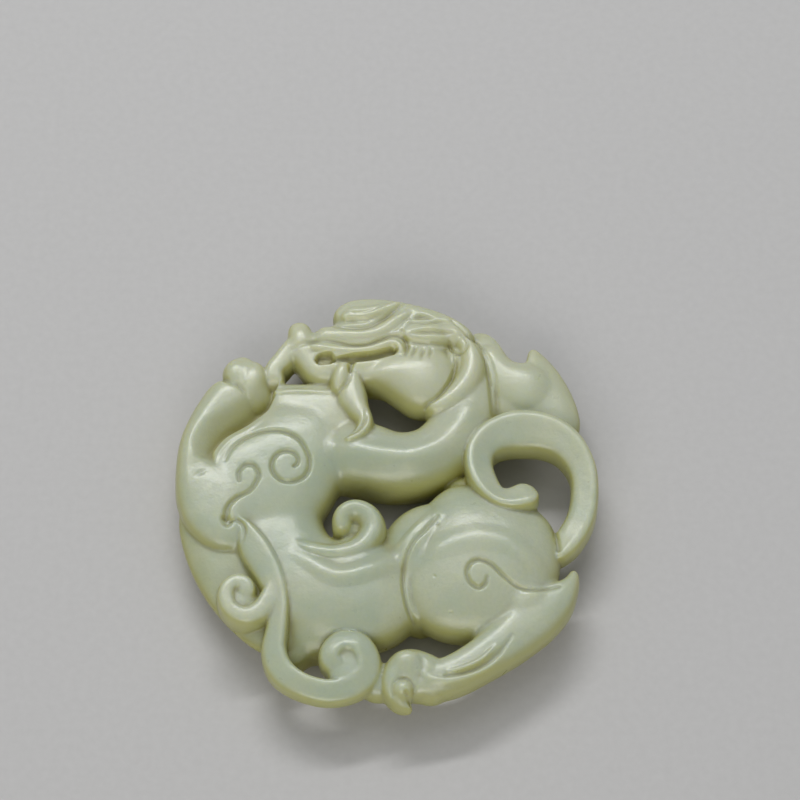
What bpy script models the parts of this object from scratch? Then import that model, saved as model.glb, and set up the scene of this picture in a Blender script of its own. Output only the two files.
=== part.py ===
"""Jade dragon pendant: one piece of nephrite, pierced and carved as a coiled dragon.

The dragon lies on its back face with its head at the far edge, facing left.  +X is right,
+Y runs from the hind foot up to the brow, and +Z is up out of the carved face.
"""

import math

import bmesh
import bpy
import numpy as np

# Driving dimensions, in metres
PENDANT_WIDTH = 0.0578
PENDANT_HEIGHT = 0.0630
PENDANT_THICKNESS = 0.0100
LIMB_FULLNESS = 2.4
BACK_FULLNESS = 2.6
CARVING_STEP = 0.00036
BODY_SOFTNESS = 0.0018
THIGH_SOFTNESS = 0.0014
HEAD_SOFTNESS = 0.0011
PAW_SOFTNESS = 0.0009
POLISH_SOFTNESS = 0.0006
FACE_COUNT = 9200

# The carver's grid: 57.8 by 63.0 squares over the face and 10 levels up from the back.
# Every form below is placed in squares, counted from a point in the pendant's middle gap,
# and the whole is then moved so that the middle of its outline is at the origin.
GRID_X = PENDANT_WIDTH / 57.8
GRID_Y = PENDANT_HEIGHT / 63.0
GRID_Z = PENDANT_THICKNESS / 10.0
CENTRE_X = -0.18
CENTRE_Y = -0.22


def smooth_path(rows, closed=False, steps=12):
    """A smooth curve through the rows; every column is carried along."""
    rows = np.array(rows, float)
    if closed:
        padded = np.vstack([rows[-1:], rows, rows[:2]])
        spans = len(rows)
    else:
        padded = np.vstack([2 * rows[0] - rows[1], rows, 2 * rows[-1] - rows[-2]])
        spans = len(rows) - 1
    t = np.linspace(0.0, 1.0, steps, endpoint=False)[:, None]
    pieces = []
    for i in range(spans):
        a, b, c, d = padded[i:i + 4]
        bend = (2 * a - 5 * b + 4 * c - d) * t ** 2 + (3 * b - a - 3 * c + d) * t ** 3
        pieces.append(0.5 * (2 * b + (c - a) * t + bend))
    if not closed:
        pieces.append(rows[-1:])
    return np.vstack(pieces)


def path_length(points):
    """Distance run along a path at each of its points."""
    return np.r_[0.0, np.cumsum(np.linalg.norm(np.diff(points[:, :2], axis=0), axis=1))]


def spiral(centre, radii, angles, *ends, steps=12):
    """Rows on a spiral: radii and angles give start and end, and so does each pair in ends."""
    rows = []
    for i in range(steps + 1):
        f = i / steps
        radius = radii[0] + (radii[1] - radii[0]) * f
        angle = math.radians(angles[0] + (angles[1] - angles[0]) * f)
        row = [centre[0] + radius * math.cos(angle), centre[1] + radius * math.sin(angle)]
        row += [start + (end - start) * f for start, end in ends]
        rows.append(tuple(row))
    return rows


def superellipse(angle, fullness):
    """Cosine and sine of a superellipse, so that fullness above 2 squares the section."""
    c, s = np.cos(angle), np.sin(angle)
    return np.sign(c) * np.abs(c) ** (2 / fullness), np.sign(s) * np.abs(s) ** (2 / fullness)


def drawn_sphere(name, sides, rings, place):
    """A UV sphere with every vertex moved to place(polar angle, azimuth), in grid units."""
    bm = bmesh.new()
    bmesh.ops.create_uvsphere(bm, u_segments=sides, v_segments=rings, radius=1.0)
    co = np.array([v.co for v in bm.verts])
    polar = np.arccos(np.clip(co[:, 2], -1.0, 1.0))
    azimuth = np.arctan2(co[:, 1], co[:, 0])
    moved = place(polar, azimuth)
    for vert, (x, y, z) in zip(bm.verts, moved):
        vert.co = ((x - CENTRE_X) * GRID_X, (y - CENTRE_Y) * GRID_Y, z * GRID_Z)
    bmesh.ops.recalc_face_normals(bm, faces=bm.faces)
    mesh = bpy.data.meshes.new(name)
    bm.to_mesh(mesh)
    bm.free()
    obj = bpy.data.objects.new(name, mesh)
    bpy.context.scene.collection.objects.link(obj)
    return obj


def limb(name, rows, fullness=LIMB_FULLNESS, back=BACK_FULLNESS, tilt=0.0, dish=0.0, sides=32,
         spacing=0.5):
    """A sphere drawn out along rows of (x, y, half width, top, bottom).

    tilt raises the left side of the path and lowers the right one, and dish hollows the top.
    """
    fine = smooth_path(rows)
    run = path_length(fine)
    length = run[-1]
    caps = [min(end, 0.45 * length) for end in (fine[0, 2], fine[-1, 2])]
    quarter = 1.0 - np.cos(np.linspace(0.0, math.pi / 2, 8))
    middle = max(3, int((length - sum(caps)) / spacing))
    stations = np.concatenate([
        caps[0] * quarter,
        np.linspace(caps[0], length - caps[1], middle)[1:-1],
        (length - caps[1] * quarter)[::-1],
    ])
    at = np.stack([np.interp(stations, run, column) for column in fine.T], axis=1)
    heading = np.gradient(at[:, :2], stations, axis=0)
    heading /= np.linalg.norm(heading, axis=1)[:, None]
    squeeze = np.ones(len(stations))
    for cap, away in ((caps[0], stations), (caps[1], length - stations)):
        inside = np.clip(1.0 - away / cap, 0.0, 1.0)
        squeeze *= np.sqrt(1.0 - inside ** 2)
    squeeze[0] = squeeze[-1] = 0.0
    rings = len(stations) - 1

    def place(polar, azimuth):
        k = np.rint(polar / math.pi * rings).astype(int)
        x, y, width, top, bottom = at[k].T
        across_up, rise_up = superellipse(azimuth, fullness)
        across_low, rise_low = superellipse(azimuth, back)
        upper = azimuth >= 0
        across = np.where(upper, across_up, across_low)
        middle_z = (top + bottom) / 2
        crest = top + tilt * across - dish * (1.0 - across ** 2)
        rise = np.where(upper, (crest - middle_z) * rise_up, (middle_z - bottom) * rise_low)
        s = squeeze[k]
        offset = width * s * across
        return np.stack([x - heading[k, 1] * offset, y + heading[k, 0] * offset,
                         middle_z + rise * s ** (2 / fullness)], axis=1)

    return drawn_sphere(name, sides, rings, place)


def lobe(name, outline, centre, top, bottom, fullness=LIMB_FULLNESS, back=BACK_FULLNESS,
         slope=(0.0, 0.0), sides=72, rings=28):
    """A sphere spread out to a plan outline seen from its centre, with a sloping top."""
    edge = smooth_path(outline, closed=True) - centre
    bearing = np.arctan2(edge[:, 1], edge[:, 0])
    order = np.argsort(bearing)
    reach = np.hypot(edge[:, 0], edge[:, 1])[order]
    bearing = bearing[order]

    def place(polar, azimuth):
        upper = polar <= math.pi / 2 + 1e-6
        rise_up, spread_up = superellipse(polar, fullness)
        rise_low, spread_low = superellipse(polar, back)
        spread = np.where(upper, spread_up, spread_low)
        radius = np.interp(azimuth, bearing, reach, period=2 * math.pi) * spread
        dx, dy = radius * np.cos(azimuth), radius * np.sin(azimuth)
        middle_z = (top + bottom) / 2
        crest = top + slope[0] * dx + slope[1] * dy
        rise = np.where(upper, (crest - middle_z) * rise_up, (middle_z - bottom) * rise_low)
        return np.stack([centre[0] + dx, centre[1] + dy, middle_z + rise], axis=1)

    return drawn_sphere(name, sides, rings, place)


def dome(name, centre, radii, top, bottom, turn=0.0, fullness=LIMB_FULLNESS, back=BACK_FULLNESS,
         slope=(0.0, 0.0), sides=64):
    """A lobe with an elliptical outline."""
    a = np.radians(np.arange(0, 360, 15))
    c, s = math.cos(math.radians(turn)), math.sin(math.radians(turn))
    ex, ey = radii[0] * np.cos(a), radii[1] * np.sin(a)
    outline = np.stack([centre[0] + ex * c - ey * s, centre[1] + ex * s + ey * c], axis=1)
    return lobe(name, outline, centre, top, bottom, fullness, back, slope, sides)


def body_forms():
    """Shoulder, chest, belly, loin and neck, and the foreleg that grows out of the shoulder."""
    return [
        lobe("shoulder", [(-6.0, 14.0), (-9.0, 16.5), (-14.5, 16.6), (-18.0, 14.2),
                          (-21.0, 11.6), (-24.6, 9.4), (-26.8, 5.0), (-26.4, -1.0), (-22.5, -6.0),
                          (-17.0, -8.5), (-11.5, -6.8), (-8.6, -2.0), (-6.2, 3.0), (-4.6, 8.6)],
             (-15.0, 5.5), 8.9, -0.6, fullness=2.5),
        lobe("chest", [(-3.2, 14.6), (-4.0, 17.0), (-7.0, 17.9), (-12.0, 18.1), (-16.2, 17.8),
                       (-17.6, 15.6), (-16.8, 11.5), (-12.0, 8.0), (-6.0, 8.0), (-3.0, 11.0)],
             (-10.5, 13.2), 8.0, 0.4, fullness=3.4),
        limb("belly", [(-16.4, 1.0, 6.6, 8.2, -0.6), (-15.9, -3.5, 6.9, 8.3, -0.6),
                       (-13.2, -9.4, 6.9, 8.6, -0.6), (-8.4, -13.4, 8.2, 9.1, -0.6),
                       (-2.0, -13.3, 9.0, 9.4, -0.6), (4.0, -11.4, 9.0, 9.2, -0.6)],
             fullness=2.3),
        dome("rump", (-8.8, -17.4), (6.6, 6.0), 7.3, -0.4),
        limb("web", [(-9.5, -18.0, 3.5, 6.6, 0.6), (-11.7, -21.4, 2.6, 5.8, 0.8),
                     (-14.2, -24.6, 1.8, 5.2, 1.6)]),
        dome("crease_foot", (4.4, -16.9), (2.4, 2.2), 7.0, -0.4),
        dome("loin", (6.6, -8.2), (7.8, 8.0), 8.9, -0.6, fullness=2.3),
        limb("neck", [(-9.5, 8.2, 5.0, 8.6, -0.4), (-4.0, 7.2, 5.3, 8.9, -0.6),
                      (1.0, 5.7, 4.8, 9.3, -0.6), (5.8, 6.6, 4.6, 9.5, -0.6),
                      (9.6, 10.3, 4.8, 9.3, -0.4), (10.9, 15.0, 4.5, 9.0, 0.2),
                      (10.6, 20.0, 4.1, 8.6, 0.8), (8.0, 24.0, 3.6, 8.4, 1.4)],
             fullness=2.25),
        limb("forearm", [(-20.4, 18.8, 3.4, 8.8, 1.6), (-21.5, 15.0, 4.2, 8.8, 1.2),
                         (-23.9, 11.8, 3.6, 8.7, 1.4), (-25.8, 8.4, 2.9, 8.7, 1.6),
                         (-26.3, 4.6, 2.8, 8.6, 1.8), (-25.6, 0.6, 3.4, 8.6, 1.8),
                         (-24.8, -3.6, 3.0, 8.2, 1.8)], tilt=-0.7, fullness=2.3),
        lobe("elbow", [(-28.8, 2.0), (-28.6, -1.0), (-27.8, -3.6), (-26.4, -5.8), (-24.4, -7.6),
                       (-22.2, -8.4), (-20.2, -8.0), (-18.8, -6.6), (-18.0, -4.0), (-18.6, 0.0),
                       (-20.6, 4.0), (-24.0, 6.6), (-27.0, 6.0)], (-23.5, -1.0), 8.7, 1.8,
             fullness=3.2),
    ]


def paw_forms():
    """The forepaw, at the far end of the foreleg."""
    return [
        lobe("palm", [(-23.1, 19.4), (-22.8, 20.6), (-21.6, 21.8), (-20.0, 22.2), (-18.4, 21.2),
                      (-17.0, 19.6), (-16.2, 17.4), (-15.9, 15.0), (-18.0, 13.0), (-20.6, 14.2),
                      (-22.2, 16.6), (-22.7, 18.2)], (-19.6, 18.0), 8.8, 2.2, fullness=2.3),
        dome("outer_toe", (-21.0, 19.0), (2.0, 2.5), 8.8, 3.0),
        dome("inner_toe", (-18.6, 17.8), (2.0, 3.4), 8.9, 3.0),
    ]


def thigh_forms():
    """The haunch and the hind leg, which flow into each other at the hock."""
    return [
        lobe("haunch", [(23.3, -9.6), (22.6, -4.6), (20.2, -1.4), (16.5, 0.8), (12.6, 2.0),
                        (9.0, 2.2), (6.4, 0.6), (4.0, -2.6), (2.1, -6.6), (1.5, -11.0),
                        (1.9, -15.0), (3.8, -18.4), (7.0, -20.4), (11.2, -20.9), (15.6, -20.0),
                        (19.4, -17.6), (22.3, -13.8)], (12.8, -9.6), 10.0, -0.6, fullness=2.25),
        limb("hock", [(25.1, -10.9, 0.5, 7.0, 4.2), (24.5, -13.2, 1.3, 7.8, 3.4),
                      (22.4, -15.8, 2.8, 8.4, 2.8),
                      (19.4, -18.2, 3.7, 8.7, 2.6), (15.8, -21.6, 3.3, 8.6, 2.6),
                      (12.0, -24.5, 2.9, 8.5, 2.8), (8.4, -26.6, 2.8, 8.4, 3.0),
                      (5.0, -27.4, 2.8, 8.4, 3.2), (1.0, -27.4, 2.6, 8.3, 3.4)],
             fullness=2.7),
        limb("flank", [(15.4, -17.8, 2.0, 8.3, 3.0), (18.4, -16.2, 2.6, 9.0, 3.0),
                       (21.4, -14.6, 1.9, 8.5, 3.0)], fullness=2.2),
    ]


def foot_forms():
    """The hind foot: arched over the knuckle, with a toe that ends in a claw."""
    return [
        limb("arch", [(7.6, -27.2, 2.2, 8.3, 3.2), (4.8, -26.3, 2.9, 8.6, 3.2),
                      (2.4, -25.9, 2.9, 8.9, 3.2), (0.9, -27.0, 1.9, 8.6, 3.2),
                      (0.6, -29.0, 1.5, 8.2, 3.4), (1.6, -30.7, 0.9, 7.4, 3.6),
                      (3.3, -31.4, 0.4, 6.6, 4.4)], fullness=2.2),
        dome("knuckle", (2.5, -25.3), (2.3, 1.9), 9.3, 3.6),
        dome("toe", (2.0, -29.2), (1.5, 1.5), 8.9, 3.8),
        dome("heel", (5.6, -28.0), (2.8, 2.4), 8.1, 3.2),
    ]


def head_forms():
    """The mass of the head, looking left."""
    return [
        limb("front", [(-12.4, 27.8, 1.5, 7.6, 3.8), (-12.3, 25.4, 1.8, 8.7, 3.6),
                       (-11.7, 22.8, 2.0, 8.7, 3.4), (-10.8, 20.5, 1.8, 8.6, 3.2),
                       (-9.3, 19.0, 1.7, 8.5, 3.0), (-6.8, 19.0, 1.6, 8.6, 3.0)]),
        dome("nose_root", (-13.1, 22.9), (1.5, 2.3), 8.4, 3.2),
        limb("mouth", [(-11.0, 21.4, 2.4, 8.7, 3.2), (-7.0, 20.8, 2.6, 8.9, 3.0),
                       (-3.0, 21.0, 2.6, 9.1, 3.0), (2.5, 21.8, 2.6, 9.4, 2.8)], fullness=3.4),
        limb("muzzle", [(-11.0, 24.2, 2.1, 8.7, 3.4), (-9.0, 24.1, 2.6, 8.9, 3.0),
                        (-5.0, 24.3, 3.2, 9.1, 2.6), (0.0, 24.8, 3.7, 9.3, 2.2),
                        (5.0, 24.9, 3.9, 9.4, 2.2), (9.0, 23.2, 3.5, 9.2, 2.2)]),
        limb("jaw", [(-5.4, 18.8, 0.9, 8.4, 2.8), (-3.0, 18.6, 1.7, 8.8, 2.4),
                     (2.0, 19.4, 2.8, 9.4, 2.2)]),
        limb("crown", [(-7.0, 26.8, 1.4, 8.2, 3.6), (-5.2, 28.7, 2.2, 8.6, 3.4),
                       (-1.0, 28.7, 2.5, 8.9, 3.0), (4.0, 27.7, 2.4, 9.0, 2.8),
                       (8.4, 25.9, 2.3, 9.0, 2.6), (11.6, 23.2, 2.1, 8.8, 2.4)]),
        lobe("cheek", [(9.7, 18.2), (9.2, 15.6), (7.6, 13.7), (5.3, 12.8), (3.0, 13.3),
                       (1.0, 14.8), (-0.8, 16.2), (-2.8, 17.2), (-4.4, 18.4), (-2.5, 21.4),
                       (2.0, 23.4), (6.0, 23.6), (9.0, 21.4)], (4.2, 18.2), 10.0, 2.2,
             fullness=2.4, slope=(0.0, -0.02)),
    ]


def mane_forms():
    """The mane, cut like a fish tail behind the neck."""
    return [
        lobe("mane", [(10.5, 22.0), (11.4, 26.0), (13.4, 26.6), (15.3, 25.1), (16.6, 22.3),
                      (17.4, 20.8), (18.4, 20.5), (19.2, 21.4), (19.5, 23.2), (20.3, 24.0),
                      (21.6, 23.0), (23.6, 20.5), (25.3, 17.2), (26.4, 13.8), (26.5, 11.2),
                      (25.4, 10.0), (20.0, 11.0), (15.5, 11.4), (12.5, 15.0)], (19.0, 16.8),
             7.3, 2.6, fullness=3.4),
        limb("mane_swell", [(12.8, 23.4, 2.2, 8.0, 4.0), (15.6, 19.2, 3.0, 8.1, 4.0),
                            (19.0, 17.2, 3.8, 8.2, 4.0), (22.6, 15.6, 3.6, 7.9, 4.0)]),
    ]


def crisp_head_forms():
    """The folds of the head: lip, brows, ruff, chin tuft and the lock from the nose."""
    return [
        limb("lip", [(-11.0, 22.8, 0.6, 8.8, 6.0), (-9.2, 22.5, 0.8, 9.1, 6.0),
                     (-7.0, 22.1, 0.8, 9.2, 6.0), (-4.5, 21.9, 0.8, 9.3, 6.0),
                     (-2.5, 22.1, 0.8, 9.4, 6.0), (-0.8, 22.6, 0.8, 9.6, 6.0),
                     (0.7, 23.0, 0.8, 9.7, 6.0), (1.7, 22.2, 0.7, 9.7, 6.0),
                     (1.7, 20.8, 0.6, 9.6, 6.0)], fullness=2.0),
        limb("brow", [(-6.6, 27.0, 0.7, 8.6, 4.0), (-5.2, 28.0, 1.5, 9.1, 4.0),
                      (-3.0, 28.0, 1.6, 9.35, 4.0), (-0.6, 28.7, 1.3, 9.3, 4.0),
                      (1.8, 29.8, 0.6, 9.0, 4.0)], fullness=2.0),
        limb("brow_ridge", [(-9.4, 25.2, 0.6, 8.8, 5.0), (-6.5, 24.7, 1.1, 9.1, 5.0),
                            (-3.4, 24.5, 1.2, 9.3, 5.0), (-1.0, 25.1, 1.3, 9.5, 5.0),
                            (1.0, 26.7, 1.2, 9.45, 5.0), (3.2, 28.4, 0.8, 9.1, 5.0)],
             fullness=2.0),
        limb("ruff", [(9.8, 24.4, 1.0, 9.0, 4.0), (11.4, 22.0, 1.8, 9.5, 4.0),
                      (11.6, 19.0, 2.1, 9.7, 4.0), (10.4, 16.2, 2.2, 9.7, 4.0),
                      (8.0, 13.9, 2.0, 9.5, 4.0), (5.0, 12.8, 1.3, 8.8, 4.0)], fullness=2.0),
        limb("strut", [(-12.6, 24.8, 1.2, 8.1, 3.4), (-13.4, 23.2, 1.5, 8.2, 3.2),
                       (-14.6, 21.4, 1.6, 8.1, 2.8), (-15.8, 19.6, 1.5, 8.1, 2.2),
                       (-15.6, 16.6, 1.6, 8.0, 2.0)], fullness=3.2),
        limb("tuft_bulb", [(-5.9, 20.4, 0.7, 8.9, 5.0), (-6.3, 18.9, 1.4, 9.5, 4.6),
                           (-6.7, 17.1, 1.4, 9.4, 4.6), (-7.0, 15.2, 0.8, 8.9, 5.0)],
             fullness=2.0),
        limb("tuft", [(-4.9, 19.2, 0.9, 8.9, 5.0), (-5.1, 17.0, 1.9, 9.1, 4.0),
                      (-5.0, 15.0, 2.3, 9.2, 3.6), (-4.2, 13.1, 1.8, 9.3, 3.6),
                      (-3.3, 11.3, 1.35, 9.6, 4.0), (-3.2, 9.9, 1.2, 9.7, 5.0),
                      (-4.0, 8.6, 0.9, 9.6, 6.0), (-5.9, 7.5, 0.5, 9.2, 6.0)], tilt=0.1,
             fullness=2.3),
    ]


def ribbon_forms():
    """The tail with its curl, the plate under the ribbons, and the ribbons with their scrolls."""
    return [
        limb("plate", spiral((0.0, 0.0), (21.9, 21.4), (170, 246), (7.0, 6.6), (6.6, 6.4),
                             (2.0, 2.4)), fullness=2.6),
        limb("tail", [(21.5, -9.0, 1.6, 7.0, 3.0), (24.0, -6.9, 2.0, 7.6, 2.8),
                      (26.1, -3.4, 2.0, 8.1, 2.8), (26.8, 0.8, 1.9, 8.4, 2.8),
                      (26.4, 4.4, 2.0, 8.6, 2.8), (24.5, 7.7, 2.4, 8.8, 2.8),
                      (21.6, 9.5, 2.8, 8.9, 2.8), (18.0, 9.9, 3.0, 9.0, 2.8),
                      (14.9, 8.9, 2.6, 9.2, 3.0), (12.9, 6.9, 2.2, 9.3, 3.4),
                      (12.4, 4.3, 2.0, 9.5, 4.0), (13.1, 1.5, 1.9, 9.7, 4.6),
                      (14.6, -0.7, 1.6, 9.8, 4.8), (16.3, -1.3, 1.8, 9.8, 4.8),
                      (18.2, -0.9, 2.1, 9.8, 4.8), (20.3, 0.1, 2.1, 9.6, 4.8)],
             fullness=3.4, tilt=-0.6, dish=0.3),
        limb("main_ribbon", [(-20.8, -3.8, 0.4, 8.4, 4.0), (-19.4, -5.4, 1.2, 8.7, 4.0),
                             (-18.0, -8.2, 2.1, 8.9, 4.0), (-16.5, -11.0, 2.1, 9.0, 4.0),
                             (-15.3, -13.8, 1.8, 9.0, 4.0), (-14.5, -16.8, 1.35, 8.9, 3.6),
                             (-14.8, -20.4, 1.55, 8.7, 3.4), (-15.1, -23.4, 1.75, 8.5, 3.2),
                             (-14.1, -26.2, 1.8, 8.3, 3.6), (-11.5, -28.3, 1.7, 8.2, 4.2),
                             (-8.0, -29.3, 1.7, 8.1, 4.4), (-4.9, -28.7, 1.75, 8.2, 4.4),
                             (-2.9, -27.0, 1.8, 8.4, 4.0), (-2.7, -24.6, 1.8, 8.6, 3.6),
                             (-3.9, -22.6, 1.8, 8.8, 3.4), (-6.0, -22.2, 1.75, 8.8, 3.4),
                             (-7.5, -23.5, 1.6, 8.8, 3.4), (-7.6, -25.1, 1.45, 8.7, 3.6),
                             (-5.9, -26.5, 1.1, 8.3, 4.0)], fullness=3.2, tilt=0.45, dish=0.2),
        dome("bottom_scroll_floor", (-5.3, -25.4), (3.0, 3.8), 8.25, 3.4, fullness=3.4),
        limb("foot_web", [(-4.0, -28.0, 2.0, 7.0, 3.2), (-0.9, -27.2, 2.7, 7.2, 3.2),
                          (1.6, -27.4, 2.2, 7.2, 3.4)]),
        dome("groin", (10.4, 1.8), (2.8, 2.4), 6.2, 0.6),
        limb("side_scroll", [(-15.1, -13.0, 1.1, 8.9, 4.0), (-15.7, -15.6, 1.5, 8.9, 4.0),
                             (-16.8, -17.6, 1.6, 8.9, 4.0), (-18.8, -18.6, 1.45, 8.9, 4.0),
                             (-20.7, -17.8, 1.3, 8.9, 4.0), (-21.6, -16.1, 1.25, 8.9, 4.0),
                             (-21.3, -14.3, 1.2, 8.9, 4.0), (-20.0, -13.5, 1.2, 8.9, 4.2),
                             (-18.9, -14.3, 1.25, 8.9, 4.6), (-19.1, -16.1, 1.2, 8.7, 5.0)],
             fullness=3.0, dish=0.15),
        dome("side_scroll_boss", (-19.4, -15.9), (2.0, 2.2), 8.3, 4.0),
        dome("centre_scroll_floor", (-4.4, -5.0), (2.3, 2.2), 7.7, 3.6),
        limb("centre_scroll", [(-13.0, -6.9, 0.7, 8.2, 4.0), (-10.6, -8.5, 1.2, 8.95, 4.0),
                               (-7.0, -9.3, 1.4, 9.3, 4.0), (-3.7, -8.2, 1.8, 9.3, 3.6),
                               (-2.1, -5.7, 1.9, 9.3, 3.2), (-2.7, -3.7, 1.8, 9.4, 3.2),
                               (-4.5, -2.8, 1.7, 9.4, 3.4), (-6.0, -3.8, 1.6, 9.2, 3.8),
                               (-6.0, -6.4, 1.2, 8.4, 4.2)], fullness=2.4, tilt=-0.3),
    ]


def joined(objects, name):
    """One object holding the meshes of all the given ones."""
    bpy.context.view_layer.update()
    bpy.ops.object.select_all(action="DESELECT")
    for obj in objects:
        obj.select_set(True)
    bpy.context.view_layer.objects.active = objects[0]
    bpy.ops.object.join()
    objects[0].name = name
    objects[0].data.name = name
    return objects[0]


def apply_modifier(obj, kind, **settings):
    """Adds a modifier with its settings and applies it."""
    modifier = obj.modifiers.new(kind.title(), kind)
    for key, value in settings.items():
        setattr(modifier, key, value)
    bpy.context.view_layer.objects.active = obj
    bpy.ops.object.modifier_apply(modifier=modifier.name)


def fused(objects, name, step, softness):
    """One skin over overlapping forms, with the creases between them softened."""
    obj = joined(objects, name)
    apply_modifier(obj, "REMESH", mode="VOXEL", voxel_size=step, adaptivity=0.0)
    passes = max(1, round((softness / step) ** 2))
    apply_modifier(obj, "SMOOTH", factor=0.5, iterations=passes)
    return obj


def distance_along(points, path):
    """Distance of plan points from a path, the side they lie on and the share run along it."""
    run = path_length(path)
    nearest = np.full(len(points), np.inf)
    side = np.zeros(len(points))
    share = np.zeros(len(points))
    for i in range(len(path) - 1):
        start, step = path[i, :2], path[i + 1, :2] - path[i, :2]
        if not step.any():
            continue
        away = points - start
        t = np.clip(away @ step / (step @ step), 0.0, 1.0)
        gap = away - t[:, None] * step
        distance = np.hypot(gap[:, 0], gap[:, 1])
        closer = distance < nearest
        nearest[closer] = distance[closer]
        side[closer] = np.sign(step[0] * away[closer, 1] - step[1] * away[closer, 0])
        share[closer] = (run[i] + t[closer] * (run[i + 1] - run[i])) / run[-1]
    return nearest, side, share


def upward(normals):
    """One on faces that look up, nought on walls and on the back."""
    t = np.clip((normals[:, 2] - 0.1) / 0.5, 0.0, 1.0)
    return t * t * (3 - 2 * t)


def groove(*rows, left=1.0, right=1.0, wall=1.0):
    """A carved stroke along rows of (x, y, width, depth); a depth below nought raises it.

    left and right widen or narrow the two flanks, and a wall below one makes them steeper.
    """
    return rows, left, right, wall


def stroke(co, normals, rows, left, right, wall):
    """Sinks the carved face along one groove."""
    path = smooth_path(rows)
    reach = path[:, 2].max() * max(left, right)
    low, high = path[:, :2].min(axis=0) - reach, path[:, :2].max(axis=0) + reach
    near = np.flatnonzero(((co[:, :2] > low) & (co[:, :2] < high)).all(axis=1)
                          & (normals[:, 2] > 0.1))
    if not len(near):
        return
    distance, side, share = distance_along(co[near, :2], path)
    run = path_length(path) / path_length(path)[-1]
    width = np.interp(share, run, path[:, 2]) * np.where(side > 0, left, right)
    depth = np.interp(share, run, path[:, 3])
    t = np.clip((1.0 - (distance / width) ** 2) / wall, 0.0, 1.0)
    co[near, 2] -= depth * t * t * upward(normals[near])


def carve(obj):
    """Cuts the grooves and pits and raises the small relief on the carved face."""
    mesh = obj.data
    count = len(mesh.vertices)
    co = np.empty(count * 3)
    mesh.vertices.foreach_get("co", co)
    scale = np.array([GRID_X, GRID_Y, GRID_Z])
    co = co.reshape(-1, 3) / scale + (CENTRE_X, CENTRE_Y, 0.0)
    normals = np.empty(count * 3)
    mesh.vertices.foreach_get("normal", normals)
    normals = normals.reshape(-1, 3)
    for rows, left, right, wall in grooves():
        stroke(co, normals, rows, left, right, wall)
    co = (co - (CENTRE_X, CENTRE_Y, 0.0)) * scale
    mesh.vertices.foreach_set("co", co.ravel())
    mesh.update()


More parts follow.
